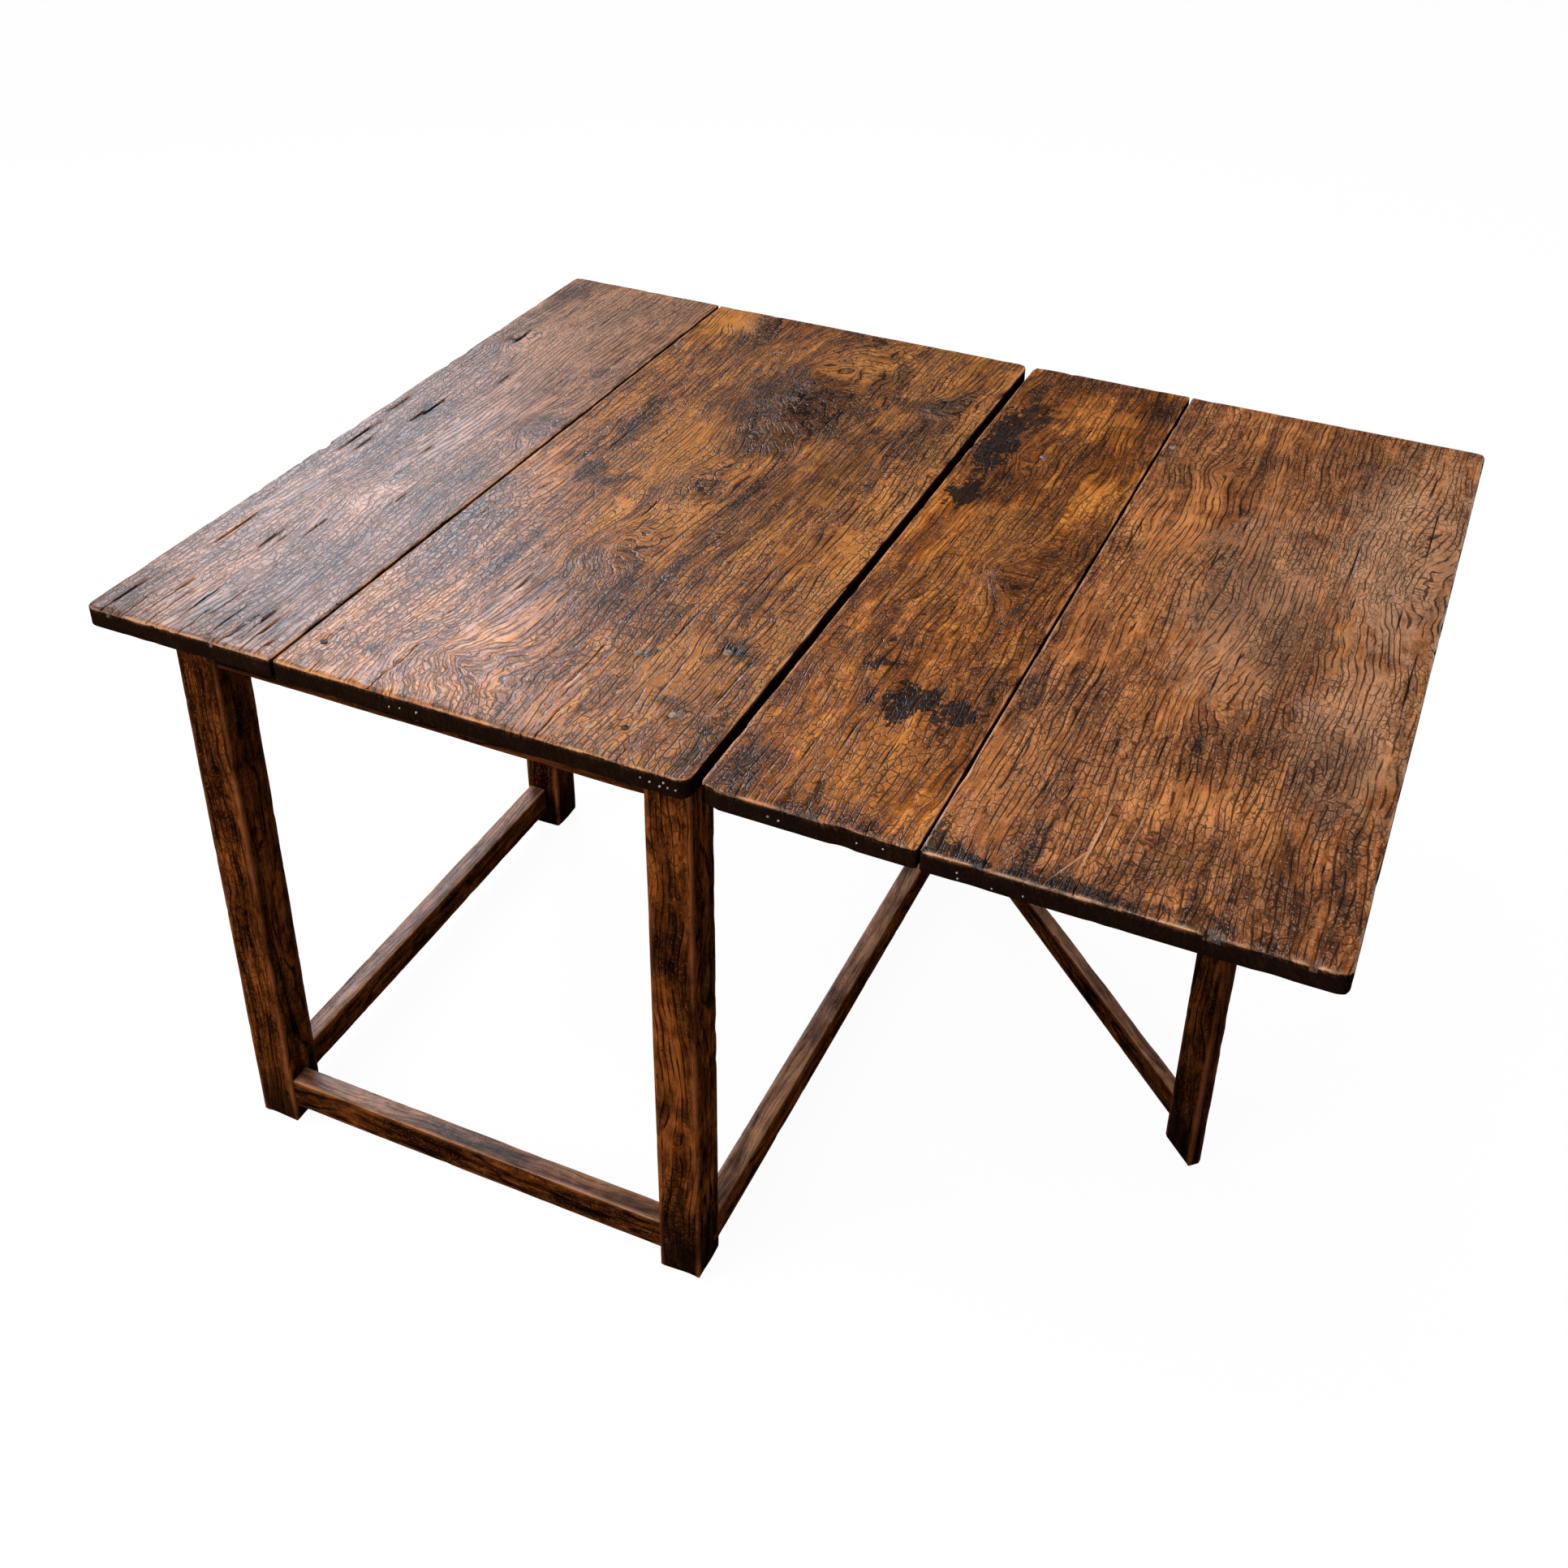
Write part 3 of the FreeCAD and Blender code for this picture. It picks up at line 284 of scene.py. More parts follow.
def worn_board(node, seed, radii, edges, checks, nails):
    """A plank with worn edges (left, right, front, back), hollows, drying checks and nail places."""
    low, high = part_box(node)
    low = low + Vector((0, 0, BOARD_LIFT))
    piece = cut_block("worn_" + node, low, high, LOWER_ARRIS, LOWER_ARRIS_CUTS, BOARD_STEPS)
    mesh = piece.data
    top = high[Z] - COLUMN_SKIN
    columns = sorted({round(v.co.x, COLUMN_DECIMALS) for v in mesh.vertices if v.co.z > top})
    near = plan_checks(columns, checks)
    spots, wear, crack, shade = [], [], [], []
    for vertex in mesh.vertices:
        x, y, z = vertex.co
        gaps = (x - low[X], high[X] - x, y - low[Y], high[Y] - y)
        to_side = min(gaps)
        side = gaps.index(to_side)
        edge_wear, set_in = edges[side]
        axis = side // 2
        along = (y, x)[axis]
        side_seed = seed + SIDE_SEED * side
        split = 0.0
        if high[Z] - z < FACE_SKIN:
            z -= worn_down(x, y, seed)
            touched = near.get(round(x, COLUMN_DECIMALS), ())
            x, z, split = cut_checks(x, y, z, touched, low[Y])
            z -= nail_dish(x, y, nails)
        up = z - low[Z]
        if up < LOWER_ARRIS and to_side < LOWER_ARRIS:
            z = low[Z] + up * LOWER_ARRIS_KEPT
            to_side *= LOWER_ARRIS_KEPT
        elif up < FACE_SKIN:
            z += MM * (SAWN_UNDERSIDE[-1] + hollow(x, y, seed + 7, *SAWN_UNDERSIDE))
        radius = chipped(along, side_seed, BOARD_ARRIS, BOARD_ARRIS_SWING * edge_wear, edge_wear)
        to_side, depth = round_off(to_side, high[Z] - z, radius)
        wear.append(rubbed_bare_and_highlight(to_side, depth, along, side_seed))
        shade.append(in_shade(to_side, depth))
        crack.append(split)
        z = high[Z] - depth
        stands_in = edge_waver(along, side_seed) * edge_wear + set_in
        to_side += stands_in * max(0.0, 1 - to_side / WAVER_REACH)
        place = [x, y]
        place[axis] = high[axis] - to_side if side % 2 else low[axis] + to_side
        spots.append((*round_corner(*place, low, high, radii), z))
    wear_block(piece, spots, {"wear": wear, "crack": crack, "side": shade})
    mesh.materials.append(board_finishes[node])
    mesh.materials.append(board_edge)
    for face in mesh.polygons:
        face.material_index = 0 if face.normal.z > FACE_RISE else 1
    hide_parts(node)
    return piece


def millimetres(rows):
    """Rows of millimetres, turned to metres."""
    return [tuple(value * MM for value in row) for row in rows]


def small_checks(node, seed, count):
    """Short fine checks scattered over a board."""
    low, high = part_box(node)
    draw = random.Random(seed)
    rows = []
    for _ in range(count):
        x = draw.uniform(low[X] + FINE_MARGIN, high[X] - FINE_MARGIN)
        start = draw.uniform(low[Y] + FINE_FRONT, high[Y] - FINE_BACK)
        length = draw.uniform(*FINE_LENGTHS) * MM
        rows.append((x, start, start + length, draw.uniform(*FINE_DEPTHS) * MM))
    return rows


def loose_groups(mesh):
    """Vertices of each separate piece of a mesh."""
    seen = set()
    for first in mesh.verts:
        if first in seen:
            continue
        seen.add(first)
        group = [first]
        for vertex in group:
            for edge in vertex.link_edges:
                other = edge.other_vert(vertex)
                if other not in seen:
                    seen.add(other)
                    group.append(other)
        yield group


# Each check: place across, start, end and depth, in millimetres.
NARROW_CHECKS = millimetres((
    (-602, -484, -400, 2.3), (-590, -351, -232, 1.8), (-577, -484, -428, 1.6), (-560, -471, -374, 2.0),
    (-546, -484, -410, 1.6), (-524, -462, -380, 2.6), (-505, -484, -434, 1.8), (-499, -448, -386, 1.4),
    (-478, -478, -406, 2.6), (-460, -484, -423, 1.5), (-446, -472, -394, 2.0), (-434, -484, -402, 1.8),
    (-601, -126, 10, 1.8), (-611, -14, 80, 1.4), (-567, 12, 82, 2.4), (-571, -10, 44, 2.0),
    (-586, -108, -30, 1.2), (-540, -346, -244, 1.2), (-513, -316, -197, 1.0), (-416, -484, -437, 1.2),
    (-581, 239, 300, 2.0), (-470, -226, -102, 0.8), (-532, 94, 208, 0.9), (-455, 234, 370, 0.9),
))
WIDE_CHECKS = millimetres((
    (-286, -484, -447, 1.8), (-106, -484, -432, 2.0), (-352, -484, -462, 1.3), (-22, -484, -455, 1.2),
    (-322, -20, 160, 1.0), (-210, -120, -10, 1.2), (-118, 150, 300, 1.2), (-66, -330, -180, 1.0),
    (20, -420, -260, 1.2), (-32, -250, -60, 1.0), (-8, 300, 345, 1.8), (31, -40, 180, 0.9),
))
INNER_CHECKS = millimetres((
    (95, -484, -462, 1.2), (216, -484, -458, 1.2), (150, -420, -300, 1.0), (238, -330, -120, 1.0),
    (120, 120, 260, 1.0), (188, 330, 484, 1.0), (92, -200, -60, 1.0),
))
OUTER_CHECKS = millimetres((
    (322, -484, -452, 1.4), (398, -484, -448, 1.4), (470, -484, -460, 1.3), (556, -484, -452, 1.6),
    (300, -420, -210, 1.1), (331, -330, -140, 1.0), (398, -470, -330, 1.0), (520, 60, 260, 1.0),
    (590, 120, 380, 1.1), (606, -180, 60, 1.0), (291, 40, 210, 1.0),
))
# Radii of the left and right corners of a board.
LEFT_ROUND, RIGHT_ROUND = (13 * MM, 4 * MM), (4 * MM, 13 * MM)
# Each kind of edge: how worn it is, and how far it stands in.
OPEN_EDGE = (1.0, 0.0)
JOINT_EDGE = (0.35, 0.9 * MM)
SLOT_EDGE = (0.5, -1.0 * MM)
FRONT_EDGE = (1.6, 0.0)
BACK_EDGE = (0.7, 0.0)


def make_boards():
    """The four boards, each with its own edges, checks and nail places."""
    top_nails = TOP_SHOWN + TOP_HEADS
    plan = (
        ("top_board_narrow", "frame", LEFT_ROUND, OPEN_EDGE, JOINT_EDGE, NARROW_CHECKS, top_nails, 22),
        ("top_board_wide", "frame", RIGHT_ROUND, JOINT_EDGE, SLOT_EDGE, WIDE_CHECKS, top_nails, 26),
        ("leaf_board_inner", "leaf", LEFT_ROUND, SLOT_EDGE, SLOT_EDGE, INNER_CHECKS, LEAF_HEADS, 14),
        ("leaf_board_outer", "leaf", RIGHT_ROUND, SLOT_EDGE, OPEN_EDGE, OUTER_CHECKS, LEAF_HEADS, 24),
    )
    for seed, (node, body, radii, left, right, checks, nails, fine) in enumerate(plan, start=1):
        rows = checks + small_checks(node, seed, fine)
        edges = (left, right, FRONT_EDGE, BACK_EDGE)
        piece = worn_board(node, float(seed), radii, edges, rows, nails)
        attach(piece, body)


# Places of nails and raised heads.
TOP_SHOWN = millimetres(((-370, -434), (-39, -434)))
TOP_HEADS = millimetres(((-8, -284), (-86, -321), (-8, -398), (-589, 270), (-387, 340)))
LEAF_HEADS = millimetres(((278, 338), (146, 246)))
# Places along the front edge and down from the upper face.
TOP_TACKS = millimetres((
    (12, 12), (22, 14), (30, 13), (38, 13), (3, 10), (26, 9), (-250, 12), (-232, 12), (-262, 14),
))
LEAF_TACKS = millimetres((
    (127, 12), (137, 13), (210, 12), (234, 10), (301, 18), (331, 18), (358, 16), (300, 12),
))
NAIL_SINK_SHOWN, NAIL_SINK, NAIL_FINDING, WELD = 0.5 * MM, 2.2 * MM, 2 * MM, 1e-6
HEAD_RADIUS, HEAD_HEIGHT, HEAD_SINK = 6.0 * MM, 2.2 * MM, 0.5 * MM
TACK_RADIUS, TACK_HEIGHT, TACK_SINK = 1.5 * MM, 1.6 * MM, 1.2 * MM
HEAD_FACETS, HEAD_TOP, HEAD_BEVEL = 12, 0.45, 0.18
HAMMERED, HAMMER_RATE, HAMMER_SEED = 0.16, 700, 900
HEAD_TURN = 0.9


def new_object(name, data):
    piece = bpy.data.objects.new(name, data)
    bpy.context.collection.objects.link(piece)
    return piece


def punched_nails(node, body, shown):
    """The nails of a node, driven below the wood apart from those at the shown places."""
    mesh = nodes[node].data.copy()
    mesh.name = "punched_" + node
    piece = new_object("punched_" + node, mesh)
    work = bmesh.new()
    work.from_mesh(mesh)
    bmesh.ops.remove_doubles(work, verts=work.verts, dist=WELD)
    for group in loose_groups(work):
        middle = sum((v.co for v in group), Vector()) / len(group)
        seen = any(hypot(middle.x - x, middle.y - y) < NAIL_FINDING for x, y in shown)
        sink = NAIL_SINK_SHOWN if seen else NAIL_SINK
        bmesh.ops.translate(work, verts=group, vec=(0, 0, -sink))
    work.to_mesh(mesh)
    work.free()
    mesh.materials.clear()
    mesh.materials.append(iron)
    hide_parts(node)
    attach(piece, body)


def rose_head(radius, height):
    """One hand-made nail head: a low cone with hammered facets."""
    bpy.ops.mesh.primitive_cone_add(
        vertices=HEAD_FACETS, radius1=radius, radius2=radius * HEAD_TOP, depth=height)
    head = bpy.context.object
    bpy.ops.object.mode_set(mode="EDIT")
    bpy.ops.mesh.select_all(action="SELECT")
    bpy.ops.mesh.bevel(offset=radius * HEAD_BEVEL, segments=2, affect="EDGES")
    bpy.ops.object.mode_set(mode="OBJECT")
    for vertex in head.data.vertices:
        x, y = vertex.co.x * HAMMER_RATE, vertex.co.y * HAMMER_RATE
        vertex.co *= 1 + HAMMERED * ripple(x, y, radius * HAMMER_SEED)
    return head


def rose_heads(name, body, spots, radius, height, finish):
    """Copies of one nail head, each turned by a little more at its spot."""
    head = rose_head(radius, height)
    merged = bmesh.new()
    for index, (place, out) in enumerate(spots):
        copy = head.data.copy()
        turn = Vector(out).to_track_quat("Z", "Y").to_matrix().to_4x4()
        spin = Matrix.Rotation(index * HEAD_TURN, 4, "Z")
        copy.transform(Matrix.Translation(place) @ turn @ spin)
        merged.from_mesh(copy)
        bpy.data.meshes.remove(copy)
    bpy.data.objects.remove(head)
    mesh = bpy.data.meshes.new(name)
    merged.to_mesh(mesh)
    merged.free()
    piece = new_object(name, mesh)
    mesh.materials.append(finish)
    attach(piece, body)


def make_nails():
    """Nails of the boards, the few heads that show, and the small tacks along the front edge."""
    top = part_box("top_board_wide")[1][Z]
    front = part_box("top_board_wide")[0][Y]
    punched_nails("top_nails", "frame", TOP_SHOWN)
    punched_nails("leaf_nails", "leaf", ())
    for body, heads, tacks in (("frame", TOP_HEADS, TOP_TACKS), ("leaf", LEAF_HEADS, LEAF_TACKS)):
        spots = [((x, y, top - HEAD_SINK), (0, 0, 1)) for x, y in heads]
        rose_heads(body + "_nail_heads", body, spots, HEAD_RADIUS, HEAD_HEIGHT, rubbed_iron_and_highlight)
        spots = [((x, front + TACK_SINK, top - down), (0, -1, 0)) for x, down in tacks]
        rose_heads(body + "_edge_tacks", body, spots, TACK_RADIUS, TACK_HEIGHT, tack_highlight_finish)


# Legs, rails, stretchers, battens and the gate

TIMBER_STEP_ALONG, TIMBER_STEP_ACROSS = 7 * MM, 5.5 * MM
TIMBER_BEVEL, TIMBER_BEVEL_CUTS = 2.2 * MM, 2
TIMBER_ARRIS, TIMBER_ARRIS_SWING, TIMBER_CHIPS = 2.2 * MM, 2.2 * MM, 0.3
TIMBER_SKIN, TIMBER_RUB_WIDTH, TIMBER_RUB_RATE = 0.3 * MM, 9 * MM, 22
# Dents of a timber: depth, and waves per metre along and across it.
DENT_DEPTH, DENT_ALONG, DENT_ACROSS = 0.25 * MM, 8, 50
# Feet: radius, how uneven they are, and the height over which a painted shade darkens them towards the
# floor.
LEG_FOOT, GATE_FOOT = 15 * MM, 10 * MM
FOOT_UNEVEN, FOOT_RATE, FOOT_SHADE = 0.35, 30, (25 * MM, 115 * MM)
RAIL_SEED, LEG_SEED, GATE_SEED = 11.0, 31.0, 51.0


def worn_timber(name, low, high, axis, seed, foot=0.0):
    """A bar with worn edges along one axis. A foot size rounds its lower end."""
    steps = [TIMBER_STEP_ACROSS] * 3
    steps[axis] = TIMBER_STEP_ALONG
    piece = cut_block(name, low, high, TIMBER_BEVEL, TIMBER_BEVEL_CUTS, enumerate(steps))
    cross = [other for other in (X, Y, Z) if other != axis]
    spots, wear, shade = [], [], []
    for vertex in piece.data.vertices:
        spot = list(vertex.co)
        along = spot[axis]
        gaps, signs = [], []
        for other in cross:
            lower = spot[other] - low[other]
            upper = high[other] - spot[other]
            signs.append(1 if upper < lower else -1)
            gaps.append(min(lower, upper))
        arris_seed = seed + 2.3 * signs[0] + 5.9 * signs[1]
        radius = chipped(along, arris_seed, TIMBER_ARRIS, TIMBER_ARRIS_SWING, TIMBER_CHIPS)
        first, second = (spot[other] * DENT_ACROSS for other in cross)
        dent = DENT_DEPTH * (1 + ripple(along * DENT_ALONG, first, second + seed))
        gaps = [gap + dent if gap < TIMBER_SKIN else gap for gap in gaps]
        near_arris = smooth(0, 1, 1 - max(gaps) / TIMBER_RUB_WIDTH)
        wear.append(near_arris * swell(along * TIMBER_RUB_RATE, arris_seed + 4))
        gaps = list(round_off(*gaps, radius))
        painted_foot_shade = 0.0
        if foot:
            up = spot[Z] - low[Z]
            uneven = ripple(spot[X] * FOOT_RATE, spot[Y] * FOOT_RATE, seed)
            size = foot * (1 + FOOT_UNEVEN * uneven)
            for index in (0, 1):
                gaps[index], up = round_off(gaps[index], up, size)
            spot[Z] = low[Z] + up
            # Painted shade: darker towards the floor.
            painted_foot_shade = 1 - smooth(*FOOT_SHADE, up)
        for other, sign, gap in zip(cross, signs, gaps):
            spot[other] = high[other] - gap if sign > 0 else low[other] + gap
        spots.append(spot)
        shade.append(painted_foot_shade)
    return wear_block(piece, spots, {"wear": wear, "side": shade})


# Lengths of tenons, how much of a tenon is kept, and how far timbers go into the boards.
SHOULDER, GATE_SHOULDER = 22 * MM, 30 * MM
SEATED, IN_BOARD = 4 * MM, 1 * MM
# Each timber of the frame and leaf: body, grain axis, and hidden tenon at each end.
FRAME_TIMBERS = (
    ("front_rail", "frame", X, SHOULDER, SHOULDER),
    ("back_rail", "frame", X, SHOULDER, SHOULDER),
    ("back_bearer", "frame", X, 0.0, SHOULDER),
    ("left_rail", "frame", Y, SHOULDER, SHOULDER),
    ("right_rail", "frame", Y, SHOULDER, SHOULDER),
    ("front_stretcher", "frame", X, SHOULDER, SHOULDER),
    ("left_stretcher", "frame", Y, SHOULDER, SHOULDER),
    ("right_stretcher", "frame", Y, SHOULDER, SHOULDER),
    ("leaf_batten_front", "leaf", X, 0.0, 0.0),
    ("leaf_batten_back", "leaf", X, 0.0, 0.0),
)
LEGS = ("leg_front_left", "leg_front_right", "leg_back_left", "leg_back_right")
GATE_TIMBERS = (
    ("gate_rail", X, GATE_SHOULDER),
    ("gate_stretcher", X, GATE_SHOULDER),
    ("gate_stile", Z, 0.0),
    ("gate_leg", Z, 0.0),
)
# The gate at rest is this far from standing square out.
GATE_TURN = radians(-44)
# Timbers under the top take darker tones: painted shade of the overhang.
SHADED_UNDER_TOP = {X: "under cross", Y: "under side"}
# Stretcher faces that rise more than this take paler tones: worn by feet, and a painted sheen.
WORN_AND_SHEEN_RISE = 0.8


def dress(piece, node, body, finish):
    """Gives a timber its finish, the node it replaces and its body."""
    piece.data.materials.append(timber_finishes[finish])
    # Paler tones on stretcher tops: wear of feet and a painted sheen.
    if finish in worn_and_sheen_finishes and "stretcher" in node:
        piece.data.materials.append(worn_and_sheen_finishes[finish])
        for face in piece.data.polygons:
            face.material_index = int(face.normal.z > WORN_AND_SHEEN_RISE)
    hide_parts(node)
    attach(piece, body)


def make_frame_timbers():
    """Rails, stretchers, bearer, battens and legs, with most of each hidden tenon left out."""
    for seed, (node, body, axis, first, last) in enumerate(FRAME_TIMBERS):
        low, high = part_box(node)
        low[axis] += max(0.0, first - SEATED)
        high[axis] -= max(0.0, last - SEATED)
        if "stretcher" not in node:
            high[Z] += IN_BOARD
        piece = worn_timber("worn_" + node, low, high, axis, RAIL_SEED + seed)
        dress(piece, node, body, axis if "stretcher" in node else SHADED_UNDER_TOP[axis])
    for seed, node in enumerate(LEGS):
        low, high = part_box(node)
        high[Z] += IN_BOARD
        piece = worn_timber("worn_" + node, low, high, Z, LEG_SEED + seed, LEG_FOOT)
        dress(piece, node, "frame", Z)


def make_gate():
    """The timbers of the gate, made square to the axes and then turned about its hinge."""
    joints = frame["record"]["behaviour"]["joints"]
    swing = next(joint for joint in joints if joint["name"] == "gate_swing")
    hinge = Vector((swing["pos_m"][0], swing["pos_m"][1], 0))
    to_gate = Matrix.Translation(hinge) @ Matrix.Rotation(GATE_TURN, 4, "Z")
    to_frame = to_gate.inverted()
    for seed, (node, axis, tenon) in enumerate(GATE_TIMBERS):
        corners = [to_frame @ vertex.co for vertex in nodes[node].data.vertices]
        low = Vector(min(c[i] for c in corners) for i in range(3))
        high = Vector(max(c[i] for c in corners) for i in range(3))
        low[axis] += max(0.0, tenon - SEATED)
        high[axis] -= max(0.0, tenon - SEATED)
        foot = GATE_FOOT if node == "gate_leg" else 0.0
        piece = worn_timber("worn_" + node, low, high, axis, GATE_SEED + seed, foot)
        piece.data.transform(to_gate)
        # The gate's timbers take darker tones: painted shade under the leaf.
        dress(piece, node, "gate", "gate" if axis == X else "gate upright")


# Finishes

# Sockets of the mix node for colours: share and two colours in, and one colour out.
MIX_IN, MIX_OUT = (0, 6, 7), 2
# Height and reach of the oval places on the top, and where in them ragged patches fray.
SPOT_LEVEL, SPOT_REACH, FRAY = 0.71, 1.0, (0.0, 0.25)


def tone(red, green, blue):
    """A colour given as it looks on a screen, from 0 to 255."""
    def linear(value):
        share = value / 255
        return share / 12.92 if share <= 0.04045 else ((share + 0.055) / 1.055) ** 2.4
    return (linear(red), linear(green), linear(blue), 1.0)


def tones(*rows):
    return tuple(tone(*row) for row in rows)


class Wiring:
    """A node tree as it is being wired."""

    def __init__(self, tree):
        self.tree = tree

    def feed(self, socket, value):
        """Links an output to a socket, or sets a plain value."""
        if isinstance(value, bpy.types.NodeSocket):
            self.tree.links.new(value, socket)
        else:
            socket.default_value = value

    def add(self, kind, inputs=None, **settings):
        node = self.tree.nodes.new("ShaderNode" + kind)
        for key, value in settings.items():
            setattr(node, key, value)
        for key, value in (inputs or {}).items():
            self.feed(node.inputs[key], value)
        return node

    def math(self, operation, *values):
        node = self.add("Math", operation=operation)
        for socket, value in zip(node.inputs, values):
            self.feed(socket, value)
        return node.outputs[0]

    def times(self, first, second):
        return self.math("MULTIPLY", first, second)

    def plus(self, value, share, base):
        """A base with a share of a value added."""
        return self.math("MULTIPLY_ADD", value, share, base)

    def rest(self, value):
        """What a value leaves of 1."""
        return self.math("SUBTRACT", 1.0, value)

    def centred(self, value):
        """A value from 0 to 1, turned to lie round 0."""
        return self.math("SUBTRACT", value, 0.5)

    def largest(self, *values):
        total = values[0]
        for value in values[1:]:
            total = self.math("MAXIMUM", total, value)
        return total

    def mix(self, share, first, second, blend="MIX"):
        node = self.add("Mix", data_type="RGBA", blend_type=blend)
        for index, value in zip(MIX_IN, (share, first, second)):
            self.feed(node.inputs[index], value)
        return node.outputs[MIX_OUT]

    def noise(self, vector, scale, detail, roughness, result=0):
        inputs = {"Vector": vector, "Scale": scale, "Detail": detail, "Roughness": roughness}
        return self.add("TexNoise", inputs).outputs[result]

    def vector(self, x, y, z):
        return self.add("CombineXYZ", {"X": x, "Y": y, "Z": z}).outputs[0]

    def step(self, value, low, high):
        """A soft step from 0 at low to 1 at high."""
        inputs = {"Value": value, "From Min": low, "From Max": high}
        return self.add("MapRange", inputs, interpolation_type="SMOOTHSTEP").outputs[0]

    def ramp(self, share, stops):
        stops = tuple(stops)
        node = self.add("ValToRGB", {"Fac": share})
        elements = node.color_ramp.elements
        while len(elements) < len(stops):
            elements.new(0.5)
        for element, (place, colour) in zip(elements, stops):
            element.position = place
            element.color = colour
        return node.outputs[0]

    def mark(self, name):
        """A mark kept on the vertices, or 0 where a piece has none."""
        return self.add("Attribute", attribute_name=name).outputs["Fac"]

    def spot(self, vector, x, y, half_x, half_y, turn=0, kind="QUADRATIC_SPHERE"):
        """1 in the middle of an oval place on the top, falling to 0 at its rim."""
        inputs = {
            "Vector": vector,
            "Location": (x * MM, y * MM, SPOT_LEVEL),
            "Rotation": (0, 0, radians(turn)),
            "Scale": (half_x * MM, half_y * MM, SPOT_REACH),
        }
        placed = self.add("Mapping", inputs, vector_type="TEXTURE").outputs[0]
        return self.add("TexGradient", {"Vector": placed}, gradient_type=kind).outputs["Fac"]

    def stains(self, vector, ragged, rows, low, high):
        """Ragged patches: each row gives middle, half sizes, strength and, if any, turn."""
        total = 0.0
        for x, y, half_x, half_y, strength, *turn in rows:
            oval = self.spot(vector, x, y, half_x, half_y, sum(turn), "SPHERICAL")
            inside = self.step(oval, *FRAY)
            patch = self.step(self.plus(ragged, inside, oval), low, high)
            total = self.math("MAXIMUM", self.times(patch, strength), total)
        return total


class Finish(Wiring):
    """A material as it is being wired."""

    def __init__(self, name, specular):
        self.material = bpy.data.materials.new(name)
        self.material.use_nodes = True
        super().__init__(self.material.node_tree)
        self.shader = self.tree.nodes["Principled BSDF"]
        self.give("Specular IOR Level", specular)
        self.place = self.add("TexCoord").outputs["Object"]

    def give(self, label, value):
        self.feed(self.shader.inputs[label], value)

    def cut(self, height, strength, distance):
        """Makes the light fall as if the surface were cut to a height."""
        inputs = {"Height": height, "Strength": strength, "Distance": distance}
        self.give("Normal", self.add("Bump", inputs).outputs[0])


# Noise drawn out along the grain: waves per metre across and along it, detail and roughness.
WANDER = (8.0, 2.6, 3.0, 0.55)
FIBRE = (330.0, 11.0, 2.0, 0.55)
FLECKS = (150.0, 30.0, 3.0, 0.55)
TUFTS = (110.0, 18.0, 4.0, 0.65)
SWAY = (26.0, 4.0, 4.0, 0.55)
BREAKS = (85.0, 24.0, 3.0, 0.55)
PORES = (520.0, 34.0, 2.0, 0.55)
BAND_WAVES, BAND_DETAIL = 66.0, (5.0, 0.6)
CLOUD_WAVES, CLOUD_DETAIL = (13.0, 6.0), (5.0, 0.62)
# Noise that is the same in all directions: waves per metre, detail and roughness.
DRIFT = (22.0, 3.0, 0.5)
BROAD = (8.0, 4.0, 0.6)
CELLS = (60.0, 3.0, 0.6)
PITS = (300.0, 2.0, 0.6)
GLINTS = (430.0, 2.0, 0.6)
SPECKS = (170.0, 3.0, 0.7)

LINES_PER_METRE = 150.0
NET_ACROSS, NET_ALONG = 205.0, 78.0
DRIFT_PULL = (0.05, 0.07, 0.0)
GRAIN_WANDER, GRAIN_LEAN = 0.06, 0.35
TONE_PLACES = (0.4, 0.46, 0.52, 0.59)
WOOD_CUT = 0.8 * MM


